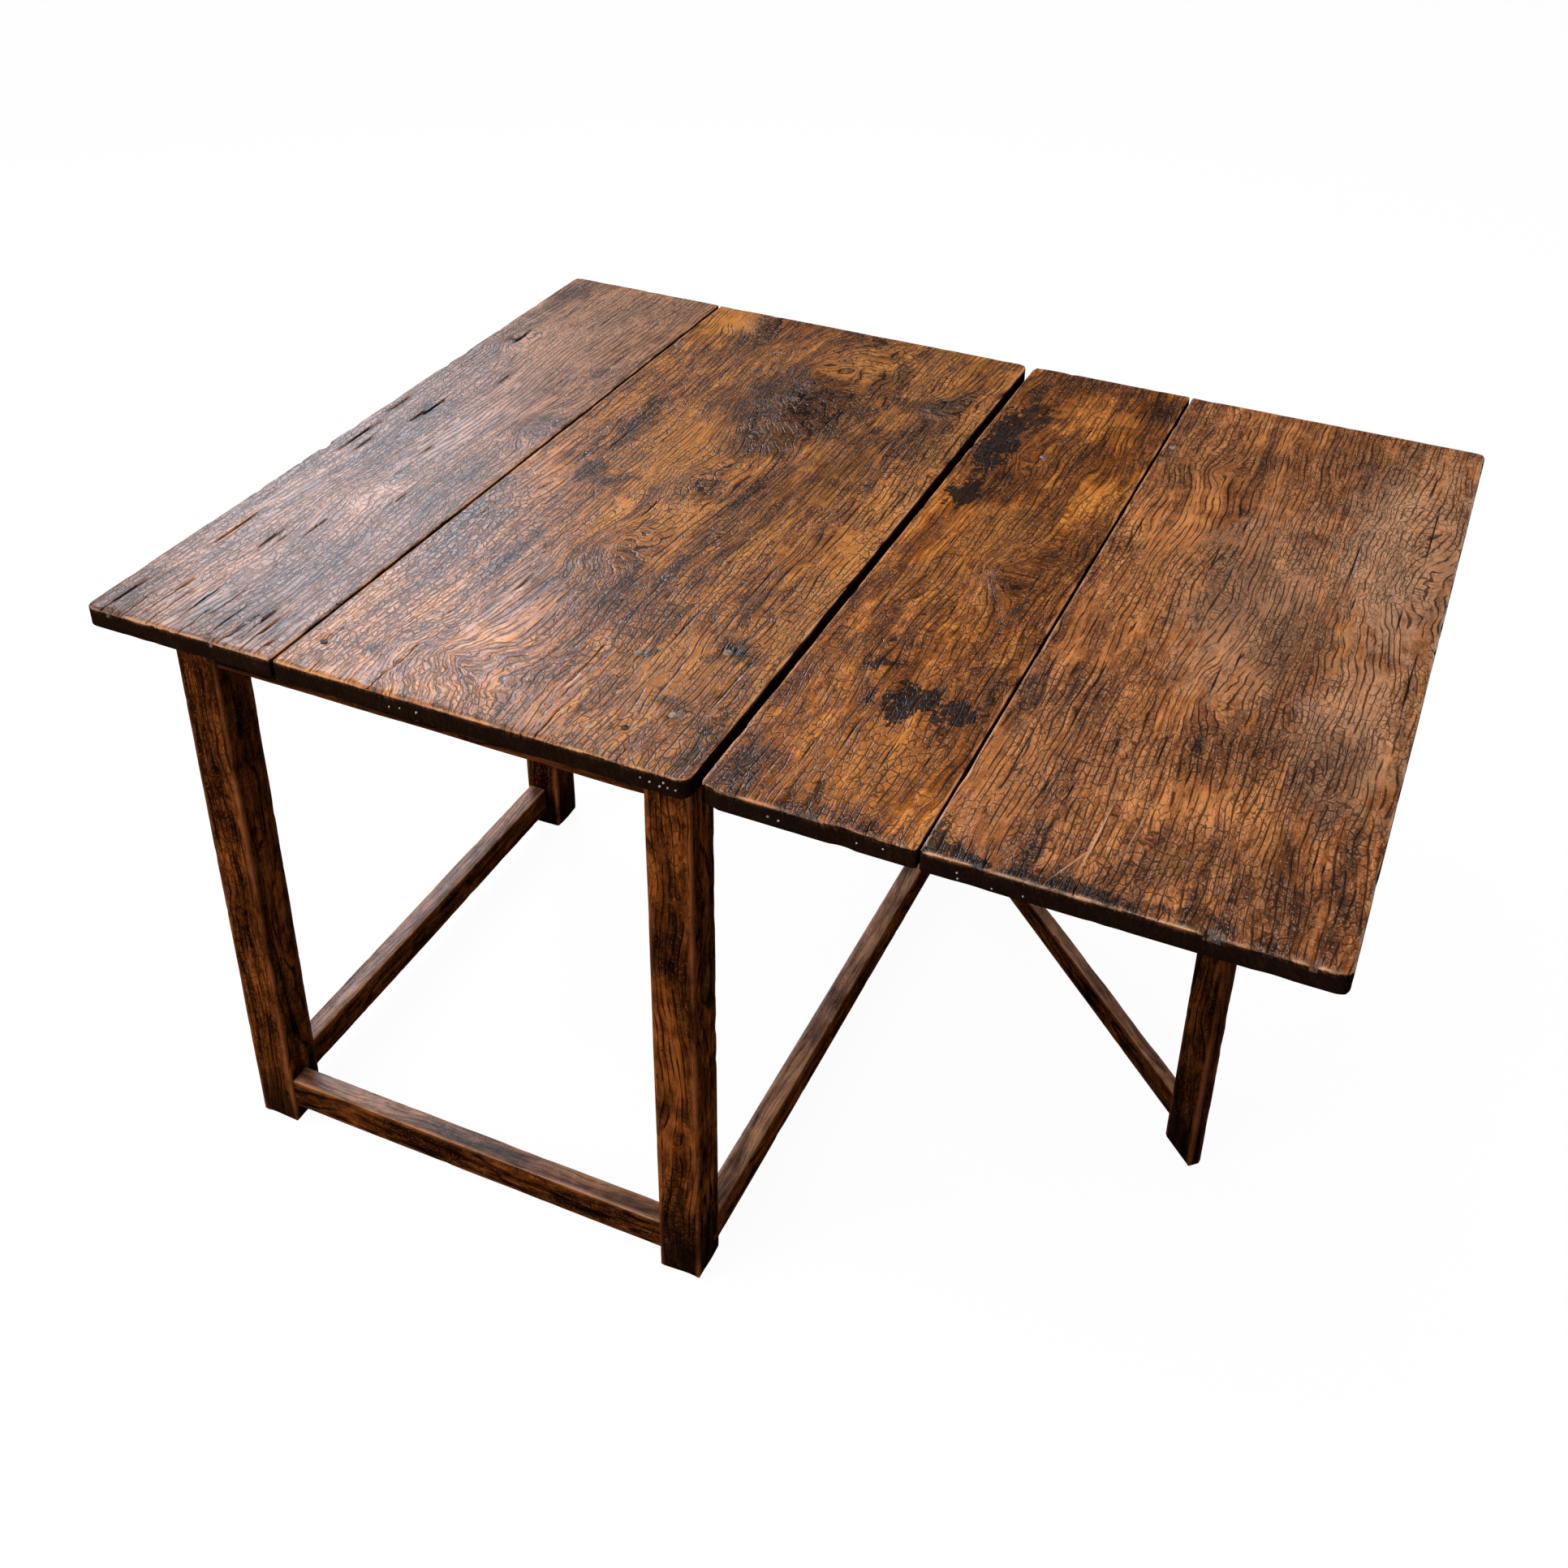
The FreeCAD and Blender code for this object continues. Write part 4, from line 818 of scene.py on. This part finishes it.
class OldWood(Finish):
    """Old waxed wood with its grain along one direction, bent round knots by figure rows."""

    def __init__(self, name, turn, specular, figure, streak):
        super().__init__(name, specular)
        self.local = self.add("Mapping", {"Vector": self.place, "Rotation": turn}).outputs[0]
        self.across, self.along, self.deep = self.add("SeparateXYZ", {"Vector": self.local}).outputs
        pull = self.noise(self.local, *DRIFT, "Color")
        pull = self.add("VectorMath", {0: pull, 1: (0.5, 0.5, 0.5)}, operation="SUBTRACT").outputs[0]
        inputs = {0: pull, 1: DRIFT_PULL, 2: self.local}
        self.drifted = self.add("VectorMath", inputs, operation="MULTIPLY_ADD").outputs[0]
        self.grain = self.across
        self.bend_grain(figure)
        self.bands = self.drawn(BAND_WAVES, streak, *BAND_DETAIL)
        self.flecks = self.drawn(*FLECKS)
        self.cells = self.noise(self.local, *CELLS)
        self.tufts = self.centred(self.drawn(*TUFTS))
        self.ragged = self.plus(self.tufts, 1.6, self.plus(self.cells, 0.6, -0.3))
        across, along = map(self.times, (self.across, self.along), CLOUD_WAVES)
        self.clouds = self.noise(self.vector(across, along, self.deep), 1.0, *CLOUD_DETAIL)

    def drawn(self, fine, long, *detail):
        """Noise drawn out along the grain."""
        vector = self.vector(
            self.times(self.grain, fine), self.times(self.along, long), self.times(self.deep, fine))
        return self.noise(vector, 1.0, *detail)

    def bend_grain(self, figure):
        """Makes the grain wander, lean and bend round the knots."""
        self.grain = self.plus(self.centred(self.drawn(*WANDER)), GRAIN_WANDER, self.grain)
        self.grain = self.plus(self.deep, GRAIN_LEAN, self.grain)
        for *oval, height in figure:
            self.grain = self.plus(self.spot(self.drifted, *oval), height * MM, self.grain)

    def bare(self, *wood_tones):
        """Four tones in bands, fibres and flecks along the grain."""
        depth = self.plus(self.bands, 0.4, self.times(self.noise(self.local, *BROAD), 0.26))
        depth = self.plus(self.drawn(*FIBRE), 0.16, depth)
        depth = self.plus(self.flecks, 0.18, depth)
        depth = self.plus(self.centred(self.cells), 0.16, depth)
        return self.ramp(depth, zip(TONE_PLACES, wood_tones))

    def patched(self, colour, light, worn, blotch, stains):
        """Dark patches, and the paler, warm and dark stains of a board."""
        patch = self.times(self.step(self.plus(self.ragged, 0.16, self.clouds), 0.5, 0.68), blotch)
        if stains:
            place = self.drifted, self.ragged
            faded = self.stains(*place, stains.get("faded", ()), 0.05, 0.8)
            colour = self.mix(faded, colour, worn)
            glow = self.stains(*place, stains["warm"], 0.05, 0.65)
            colour = self.mix(self.times(glow, 0.8), colour, light)
            patch = self.largest(patch, self.stains(*place, stains["dark"], 0.06, 0.66))
        return self.mix(patch, colour, self.mix(1.0, colour, SMOKE, "MULTIPLY"))

    def etched(self, colour, worn, black, etch, craze):
        """Lines, cracks with painted highlights along their lips, pores, pits and glints. Gives the
        colour and the depth.
        """
        sway = self.times(self.grain, LINES_PER_METRE)
        sway = self.plus(self.drawn(*SWAY), 3.2, sway)
        level = self.math("PINGPONG", sway, 0.5)
        kept = self.step(self.drawn(*BREAKS), 0.38, 0.5)
        lines = self.times(kept, self.rest(self.step(level, 0.05, 0.17)))
        shaken = self.plus(self.centred(self.cells), 0.01, self.grain)
        net = self.vector(
            self.times(shaken, NET_ACROSS), self.times(self.along, NET_ALONG),
            self.times(self.deep, NET_ACROSS))
        inputs = {"Vector": net, "Scale": 1.0}
        wall = self.add("TexVoronoi", inputs, feature="DISTANCE_TO_EDGE").outputs["Distance"]
        crazed = self.step(self.plus(self.tufts, 0.5, self.clouds), 0.36, 0.52)
        crackle = self.times(crazed, self.rest(self.step(wall, 0.02, 0.1)))
        pores = self.step(self.drawn(*PORES), 0.57, 0.7)
        pits = self.step(self.noise(self.local, *PITS), 0.64, 0.72)
        depth = self.largest(
            self.times(lines, 0.9 * etch), self.times(crackle, craze),
            self.times(pores, 0.5), self.times(pits, craze))
        # Painted highlights: pale lines along the lips of the fine cracks.
        lip_highlights = self.times(self.step(wall, 0.1, 0.16), self.rest(self.step(wall, 0.16, 0.26)))
        lip_highlights = self.times(self.times(lip_highlights, crazed), self.step(self.flecks, 0.45, 0.62))
        glints = self.step(self.noise(self.local, *GLINTS), 0.56, 0.7)
        colour = self.mix(self.times(lip_highlights, 0.5 * craze), colour, worn)
        colour = self.mix(self.times(glints, 0.7 * craze), colour, worn)
        return self.mix(depth, colour, black), depth

    def inked(self, colour, worn, black, stains):
        """Speckled black stains and pale scratches."""
        clear = self.math("SUBTRACT", self.ragged, 0.9)
        speckled = self.plus(self.noise(self.local, *SPECKS), 1.8, clear)
        ink = self.stains(self.drifted, speckled, stains["black"], 0.28, 0.4)
        colour = self.mix(self.times(ink, 0.93), colour, black)
        scratch = self.stains(self.local, 0.0, stains.get("pale", ()), 0.1, 0.7)
        return self.mix(scratch, colour, worn)

    def used(self, colour, worn, black, side):
        """Painted shade on sides, undersides and feet, rubbed edges, partly a painted highlight, and
        open checks, from the marks on the vertices.
        """
        # Rubbed edges: worn wax, and on the boards partly a painted highlight.
        rubbed_and_highlight = self.step(self.mark("wear"), 0.08, 0.7)
        rubbed_and_highlight = self.times(rubbed_and_highlight, self.step(self.ragged, -0.45, 0.1))
        # Painted shade: the side mark darkens board sides, undersides and the feet of legs towards the
        # shade tone.
        colour = self.mix(self.times(self.mark("side"), 0.86), colour, side)
        colour = self.mix(self.times(rubbed_and_highlight, 0.85), colour, worn)
        return self.mix(self.step(self.mark("crack"), 0.25, 0.85), colour, black)


def old_wood(name, turn, wood_tones, specular, rough, figure=(), stains=None, etch=1.0, craze=0.45,
             blotch=0.75, streak=6.0, relief=0.5):
    """A material of old waxed wood.

    Etch and craze set how dark the grain lines and the fine cracks are, blotch the dark patches,
    streak how short the bands of colour are, and relief how deep the surface is cut.
    """
    dark, brown, warm, light, worn, black, side = wood_tones
    wood = OldWood(name, turn, specular, figure, streak)
    colour = wood.bare(dark, brown, warm, light)
    colour = wood.patched(colour, light, worn, blotch, stains)
    colour, depth = wood.etched(colour, worn, black, etch, craze)
    if stains:
        colour = wood.inked(colour, worn, black, stains)
    wood.give("Base Color", wood.used(colour, worn, black, side))
    wood.give("Roughness", wood.plus(wood.centred(wood.clouds), 0.2, rough))
    height = wood.plus(depth, -1.0, wood.times(wood.bands, 0.5))
    wood.cut(wood.plus(wood.flecks, 0.35, height), relief, WOOD_CUT)
    return wood.material


ALONG_X = (0, 0, radians(90))
ALONG_Y = (0, 0, 0)
ALONG_Z = (radians(90), 0, 0)
ALONG_GATE = (0, 0, radians(90) - GATE_TURN)

# Places on the boards in millimetres from the middle of the open top.
WIDE_FIGURE = (
    (-190, 330, 130, 300, 105), (-205, -150, 62, 78, 50), (-240, -410, 150, 90, 48),
    (-5, 320, 45, 60, 48), (-200, 20, 70, 130, 30), (-330, 470, 60, 90, 50),
)
NARROW_FIGURE = ((-585, 265, 30, 60, 34), (-430, 60, 40, 90, 34), (-520, -170, 60, 200, 20))
INNER_FIGURE = ((190, -20, 50, 110, 36), (120, 250, 60, 120, 30))
OUTER_FIGURE = ((585, 130, 110, 420, 34), (440, -160, 90, 200, 20), (340, 300, 70, 120, 22))
NARROW_STAINS = {
    "dark": (
        (-600, 420, 34, 66, 0.6), (-585, 265, 17, 20, 1.0), (-567, 34, 12, 34, 0.9),
        (-600, -440, 40, 90, 0.55), (-480, -445, 70, 46, 0.5), (-430, 60, 32, 54, 0.4),
        (-612, 100, 14, 300, 0.35),
    ),
    "warm": ((-430, 430, 70, 90, 0.5), (-560, 350, 40, 130, 0.35)),
    "faded": ((-520, 300, 130, 220, 0.4),),
    "black": ((-585, 266, 8, 10, 1.0), (-566, 40, 7, 20, 0.9)),
}
WIDE_STAINS = {
    "dark": (
        (-305, 410, 28, 100, 0.8), (-322, 130, 22, 150, 0.9), (-318, -12, 26, 46, 0.9),
        (-282, -22, 46, 17, 0.8, 20), (-165, 260, 140, 170, 0.95), (-165, 150, 70, 90, 0.95),
        (-95, 330, 36, 130, 0.85), (-55, 310, 100, 22, 0.8), (-2, 320, 32, 50, 0.95),
        (-105, -20, 66, 150, 0.6), (-50, 70, 56, 170, 0.55), (-200, -220, 130, 90, 0.6),
        (-20, -190, 26, 70, 0.6), (-4, -282, 26, 32, 0.95), (-322, -430, 18, 22, 0.8),
        (-10, -378, 32, 16, 0.75), (-80, -320, 13, 15, 0.9), (-30, 440, 90, 60, 0.5),
    ),
    "warm": (
        (-355, 440, 52, 70, 0.95), (-250, 60, 95, 150, 0.75), (-180, -60, 46, 66, 0.85),
        (32, 0, 26, 480, 0.6), (-30, -340, 80, 110, 0.45),
    ),
    "black": ((-4, -283, 9, 9, 1.0), (-322, -430, 8, 9, 0.9)),
}
INNER_STAINS = {
    "dark": (
        (180, 250, 80, 100, 0.6), (130, 170, 86, 66, 0.55), (120, -60, 66, 70, 0.55),
        (190, 0, 66, 140, 0.45), (80, -440, 26, 50, 0.7), (170, -474, 110, 16, 0.7),
        (240, 430, 36, 50, 0.55), (250, -200, 18, 200, 0.5), (150, 460, 90, 30, 0.5),
    ),
    "warm": ((180, -380, 80, 90, 0.4), (150, 60, 60, 80, 0.5), (170, 380, 60, 60, 0.5)),
    "black": (
        (84, 260, 30, 150, 1.0), (106, 340, 26, 66, 0.9), (92, 118, 28, 60, 1.0),
        (178, -286, 38, 58, 1.0), (226, -290, 30, 22, 0.95), (138, -242, 28, 16, 0.9, 20),
    ),
}
OUTER_STAINS = {
    "dark": (
        (500, -20, 66, 130, 0.6), (470, -240, 56, 100, 0.55), (420, 60, 66, 140, 0.4),
        (560, -230, 46, 110, 0.55), (580, -420, 60, 60, 0.4), (520, -380, 70, 60, 0.5),
        (365, 330, 100, 110, 0.4), (480, 390, 90, 66, 0.5), (282, -240, 14, 50, 0.6),
        (450, -474, 190, 20, 0.8), (612, 0, 14, 400, 0.4),
    ),
    "warm": ((310, -330, 40, 130, 0.45), (330, 60, 60, 190, 0.5), (590, 250, 40, 160, 0.35)),
    "faded": ((570, 210, 120, 340, 0.7), (450, 40, 130, 300, 0.45), (570, -150, 90, 220, 0.5)),
    "black": ((298, -474, 62, 17, 0.9), (384, -474, 90, 13, 0.8), (274, -462, 12, 36, 0.9)),
    "pale": (
        (396, -400, 1.6, 80, 0.8, -1), (388, -440, 1.5, 50, 0.6, -22), (425, -380, 1.3, 60, 0.4, -4),
    ),
}

BLACK = tone(16, 11, 8)
# Tone of the painted shade on the sides and undersides of the boards.
PAINTED_SHADE_TONE = tone(36, 23, 16)
SMOKE = (0.13, 0.1, 0.08, 1.0)
# Each wood: four tones from dark to light, then worn, black, and the tone of the painted shade on
# sides, undersides and feet.
NARROW_TONES = (
    *tones((72, 46, 34), (118, 78, 56), (148, 100, 70), (182, 128, 92), (204, 152, 116)), BLACK, PAINTED_SHADE_TONE)
WIDE_TONES = (
    *tones((62, 35, 17), (120, 68, 27), (166, 100, 42), (208, 134, 56), (214, 152, 98)), BLACK, PAINTED_SHADE_TONE)
INNER_TONES = (
    *tones((70, 36, 9), (118, 62, 14), (158, 88, 22), (222, 138, 54), (214, 142, 84)), BLACK, PAINTED_SHADE_TONE)
OUTER_TONES = (
    *tones((80, 46, 26), (130, 74, 34), (170, 102, 50), (212, 136, 74), (208, 158, 122)), BLACK, PAINTED_SHADE_TONE)
TIMBER_TONES = tones(
    (24, 11, 4), (62, 30, 11), (112, 58, 22), (168, 92, 40), (160, 92, 50), (9, 5, 3), (20, 11, 7))
# Darker tones of the gate and of the timbers under the top: painted shade.
SHADED_TIMBER_TONES = tones(
    (18, 8, 3), (46, 22, 9), (82, 42, 17), (126, 68, 30), (128, 72, 40), (8, 5, 3), (18, 10, 6))
# Paler, greyer tones of stretcher tops: wear of feet and a painted sheen.
WORN_AND_SHEEN_TONES = tones(
    (72, 46, 32), (120, 78, 54), (160, 110, 78), (204, 146, 106), (196, 142, 106), (14, 9, 6),
    (30, 18, 12))
EDGE_TONES = tones(
    (20, 13, 9), (35, 22, 14), (54, 34, 21), (92, 56, 34), (160, 102, 64), (8, 5, 4), (30, 18, 12))

# Gloss, roughness, and how strong lines and cracks are.
WAXED, DULL = 0.5, 0.0
TIMBER_ROUGH, TIMBER_CRAZE = 0.5, 0.65
WORN_AND_SHEEN_ROUGH, WORN_AND_SHEEN_ETCH, WORN_AND_SHEEN_CRAZE = 0.36, 0.6, 0.15
BOARD_STREAK = 5.0

# Each board: wood, tones, gloss, roughness, figure, stains, etch, craze, blotch, streak and relief.
board_finishes = {
    node: old_wood(name, ALONG_Y, *row)
    for node, name, *row in (
        ("top_board_narrow", "narrow_board_wood", NARROW_TONES, WAXED, 0.34,
         NARROW_FIGURE, NARROW_STAINS, 0.95, 0.65, 0.35, BOARD_STREAK, 0.45),
        ("top_board_wide", "wide_board_wood", WIDE_TONES, WAXED, 0.29,
         WIDE_FIGURE, WIDE_STAINS, 1.0, 0.8, 0.45, BOARD_STREAK, 0.5),
        ("leaf_board_inner", "inner_leaf_wood", INNER_TONES, WAXED, 0.28,
         INNER_FIGURE, INNER_STAINS, 0.9, 0.75, 0.5, BOARD_STREAK, 0.45),
        ("leaf_board_outer", "outer_leaf_wood", OUTER_TONES, WAXED, 0.28,
         OUTER_FIGURE, OUTER_STAINS, 0.95, 0.75, 0.55, BOARD_STREAK, 0.45),
    )
}
board_edge = old_wood("board_edge_wood", ALONG_Y, EDGE_TONES, DULL, TIMBER_ROUGH)
timber_finishes = {
    use: old_wood(*row, DULL, TIMBER_ROUGH, craze=TIMBER_CRAZE)
    for use, *row in (
        (X, "cross_timber_wood", ALONG_X, TIMBER_TONES),
        (Y, "side_timber_wood", ALONG_Y, TIMBER_TONES),
        (Z, "upright_wood", ALONG_Z, TIMBER_TONES),
        ("gate", "gate_bar_wood", ALONG_GATE, SHADED_TIMBER_TONES),
        ("under cross", "under_cross_wood", ALONG_X, SHADED_TIMBER_TONES),
        ("under side", "under_side_wood", ALONG_Y, SHADED_TIMBER_TONES),
        ("gate upright", "gate_upright_wood", ALONG_Z, SHADED_TIMBER_TONES),
    )
}
worn_and_sheen_finishes = {
    use: old_wood(
        name, turn, WORN_AND_SHEEN_TONES, shine, WORN_AND_SHEEN_ROUGH, etch=WORN_AND_SHEEN_ETCH, craze=WORN_AND_SHEEN_CRAZE)
    for use, name, turn, shine in (
        (X, "worn_and_sheen_cross_wood", ALONG_X, WAXED),
        (Y, "worn_and_sheen_side_wood", ALONG_Y, WAXED),
        ("gate", "worn_and_sheen_gate_wood", ALONG_GATE, 0.4),
    )
}

# Noise of the metals: waves per metre, detail and roughness.
IRON_SCALE = (180.0, 5.0, 0.65)
RUST_PITS = (620.0, 3.0, 0.6)
TACK_HIGHLIGHT_PATCHES = (900.0, 3.0, 0.6)
IRON_PLACES = (0.3, 0.52, 0.7)
METAL_SHINE, IRON_CUT = 0.5, 0.4 * MM


def old_iron(name, iron_tones, metallic):
    """Forged iron gone brown, with rust in the hollows and rubbed high spots."""
    finish = Finish(name, METAL_SHINE)
    scale = finish.noise(finish.place, *IRON_SCALE)
    pits = finish.noise(finish.place, *RUST_PITS)
    colour = finish.ramp(scale, zip(IRON_PLACES, iron_tones))
    finish.give("Base Color", finish.mix(finish.step(pits, 0.6, 0.75), colour, iron_tones[0]))
    finish.give("Metallic", finish.math("SUBTRACT", metallic, finish.step(scale, 0.45, 0.65)))
    finish.give("Roughness", finish.plus(scale, 0.4, 0.3))
    finish.cut(finish.plus(pits, 0.5, scale), 0.5, IRON_CUT)
    return finish.material


def painted_highlight_tack(name):
    """Small tacks coloured near white as a painted highlight, dulled in patches."""
    finish = Finish(name, METAL_SHINE)
    patches = finish.noise(finish.place, *TACK_HIGHLIGHT_PATCHES)
    colour = finish.ramp(patches, ((0.4, tone(120, 108, 98)), (0.6, tone(222, 214, 204))))
    finish.give("Base Color", colour)
    finish.give("Roughness", finish.plus(patches, 0.4, 0.15))
    return finish.material


iron = old_iron("forged_iron_brown", tones((20, 15, 13), (42, 31, 25), (96, 56, 34)), 0.85)
# Nail heads: rubbed iron, made paler to paint their highlight as well.
rubbed_iron_and_highlight = old_iron(
    "forged_iron_rubbed_and_highlight", tones((66, 54, 46), (142, 124, 108), (170, 134, 104)), 0.4)
# Tacks along the front edge: near white, a painted highlight.
tack_highlight_finish = painted_highlight_tack("tack_painted_highlight")


def finish_nodes():
    """Gives the hinges and pegs, which stay as they were packed, their finish."""
    for name, piece in nodes.items():
        if "hinge" in name or "pegs" in name:
            piece.data.materials.clear()
            piece.data.materials.append(iron if "hinge" in name else board_edge)


# Studio

# Each lamp: place, aim, width in metres, power in watts and colour.
LAMPS = {
    "window": ((-2.2, 1.67, 2.22), (-0.4, -0.2, 0.72), 1.1, 33, (0.8, 0.87, 1.0)),
    "ceiling": ((-0.6, -0.5, 3.3), (-0.1, -0.1, 0.7), 2.2, 40, (1.0, 0.99, 0.97)),
    "front": ((-1.6, -2.8, 2.7), (0, 0, 0.5), 2.2, 64, (1.0, 0.98, 0.95)),
}

WHITE = (1, 1, 1, 1)
ROOM_ABOVE = (0.03, 0.03, 0.035, 1)
FILL_LEFT = (0.5, 0.5, 0.51, 1)
FILL_RIGHT = (0.3, 0.3, 0.305, 1)
# Share of straight up at which mirrored white has turned to the room above.
ROOM_HEIGHT = 0.14

FLOOR_SIZE = 30
FLOOR_DIM = (0.22, 0.22, 0.22, 1)
FLOOR_LIT = (0.95, 0.95, 0.95, 1)
FLOOR_GLOW, FLOOR_GLOW_SHARE = 1.03, 0.93


def make_camera():
    """A camera fitted to the corners of the boards and legs in the photograph."""
    data = bpy.data.cameras.new("camera")
    data.sensor_width = 36
    data.lens = 41.247
    data.shift_x, data.shift_y = -0.0301, -0.1401
    camera = new_object("camera", data)
    camera.location = (0.63446, -1.58641, 1.69065)
    camera.rotation_mode = "ZYX"
    camera.rotation_euler = (radians(57.04089), radians(19.08215), radians(13.59831))
    bpy.context.scene.camera = camera


def make_backdrop():
    """White behind the object and low round it, with a dimmer room overhead."""
    world = bpy.data.worlds.new("studio")
    world.use_nodes = True
    bpy.context.scene.world = world
    wiring = Wiring(world.node_tree)
    path = wiring.add("LightPath").outputs
    way = wiring.add("TexCoord").outputs["Generated"]
    sideways, _, height = wiring.add("SeparateXYZ", {"Vector": way}).outputs
    inputs = {"Value": height, "From Min": 0.0, "From Max": ROOM_HEIGHT}
    mirrored = wiring.mix(wiring.add("MapRange", inputs).outputs[0], WHITE, ROOM_ABOVE)
    shiny = wiring.largest(path["Is Glossy Ray"], path["Is Transmission Ray"])
    rightness = wiring.add("MapRange", {"Value": sideways, "From Min": -1}).outputs[0]
    fill = wiring.mix(rightness, FILL_LEFT, FILL_RIGHT)
    colour = wiring.mix(shiny, fill, mirrored)
    colour = wiring.mix(path["Is Camera Ray"], colour, WHITE)
    wiring.feed(wiring.tree.nodes["Background"].inputs["Color"], colour)


def make_floor():
    """A pale floor that stays near white in the picture and keeps a faint shadow."""
    bpy.ops.mesh.primitive_plane_add(size=FLOOR_SIZE)
    floor = bpy.context.object
    floor.name = "floor"
    material = bpy.data.materials.new("pale_floor")
    material.use_nodes = True
    wiring = Wiring(material.node_tree)
    wiring.tree.nodes.clear()
    path = wiring.add("LightPath").outputs
    seen = wiring.largest(
        path["Is Camera Ray"], path["Is Glossy Ray"], path["Is Transmission Ray"])
    dim = wiring.add("BsdfDiffuse", {"Color": FLOOR_DIM}).outputs[0]
    lit = wiring.add("BsdfDiffuse", {"Color": FLOOR_LIT}).outputs[0]
    glow = wiring.add("Emission", {"Strength": FLOOR_GLOW}).outputs[0]
    pale = wiring.add("MixShader", {0: FLOOR_GLOW_SHARE, 1: lit, 2: glow}).outputs[0]
    both = wiring.add("MixShader", {0: seen, 1: dim, 2: pale}).outputs[0]
    wiring.add("OutputMaterial", {"Surface": both})
    floor.data.materials.append(material)


def make_lamps():
    """Soft square lamps that don't show in the picture."""
    for name, (place, aim, size, power, colour) in LAMPS.items():
        data = bpy.data.lights.new(name, "AREA")
        data.shape = "SQUARE"
        data.size = size
        data.energy = power
        data.color = colour
        lamp = new_object(name, data)
        lamp.location = place
        lamp.rotation_mode = "QUATERNION"
        lamp.rotation_quaternion = (Vector(aim) - Vector(place)).to_track_quat("-Z", "Y")
        lamp.visible_camera = False


make_boards()
make_nails()
make_frame_timbers()
make_gate()
finish_nodes()
make_camera()
make_backdrop()
make_floor()
make_lamps()
bpy.context.scene.view_settings.view_transform = "Standard"
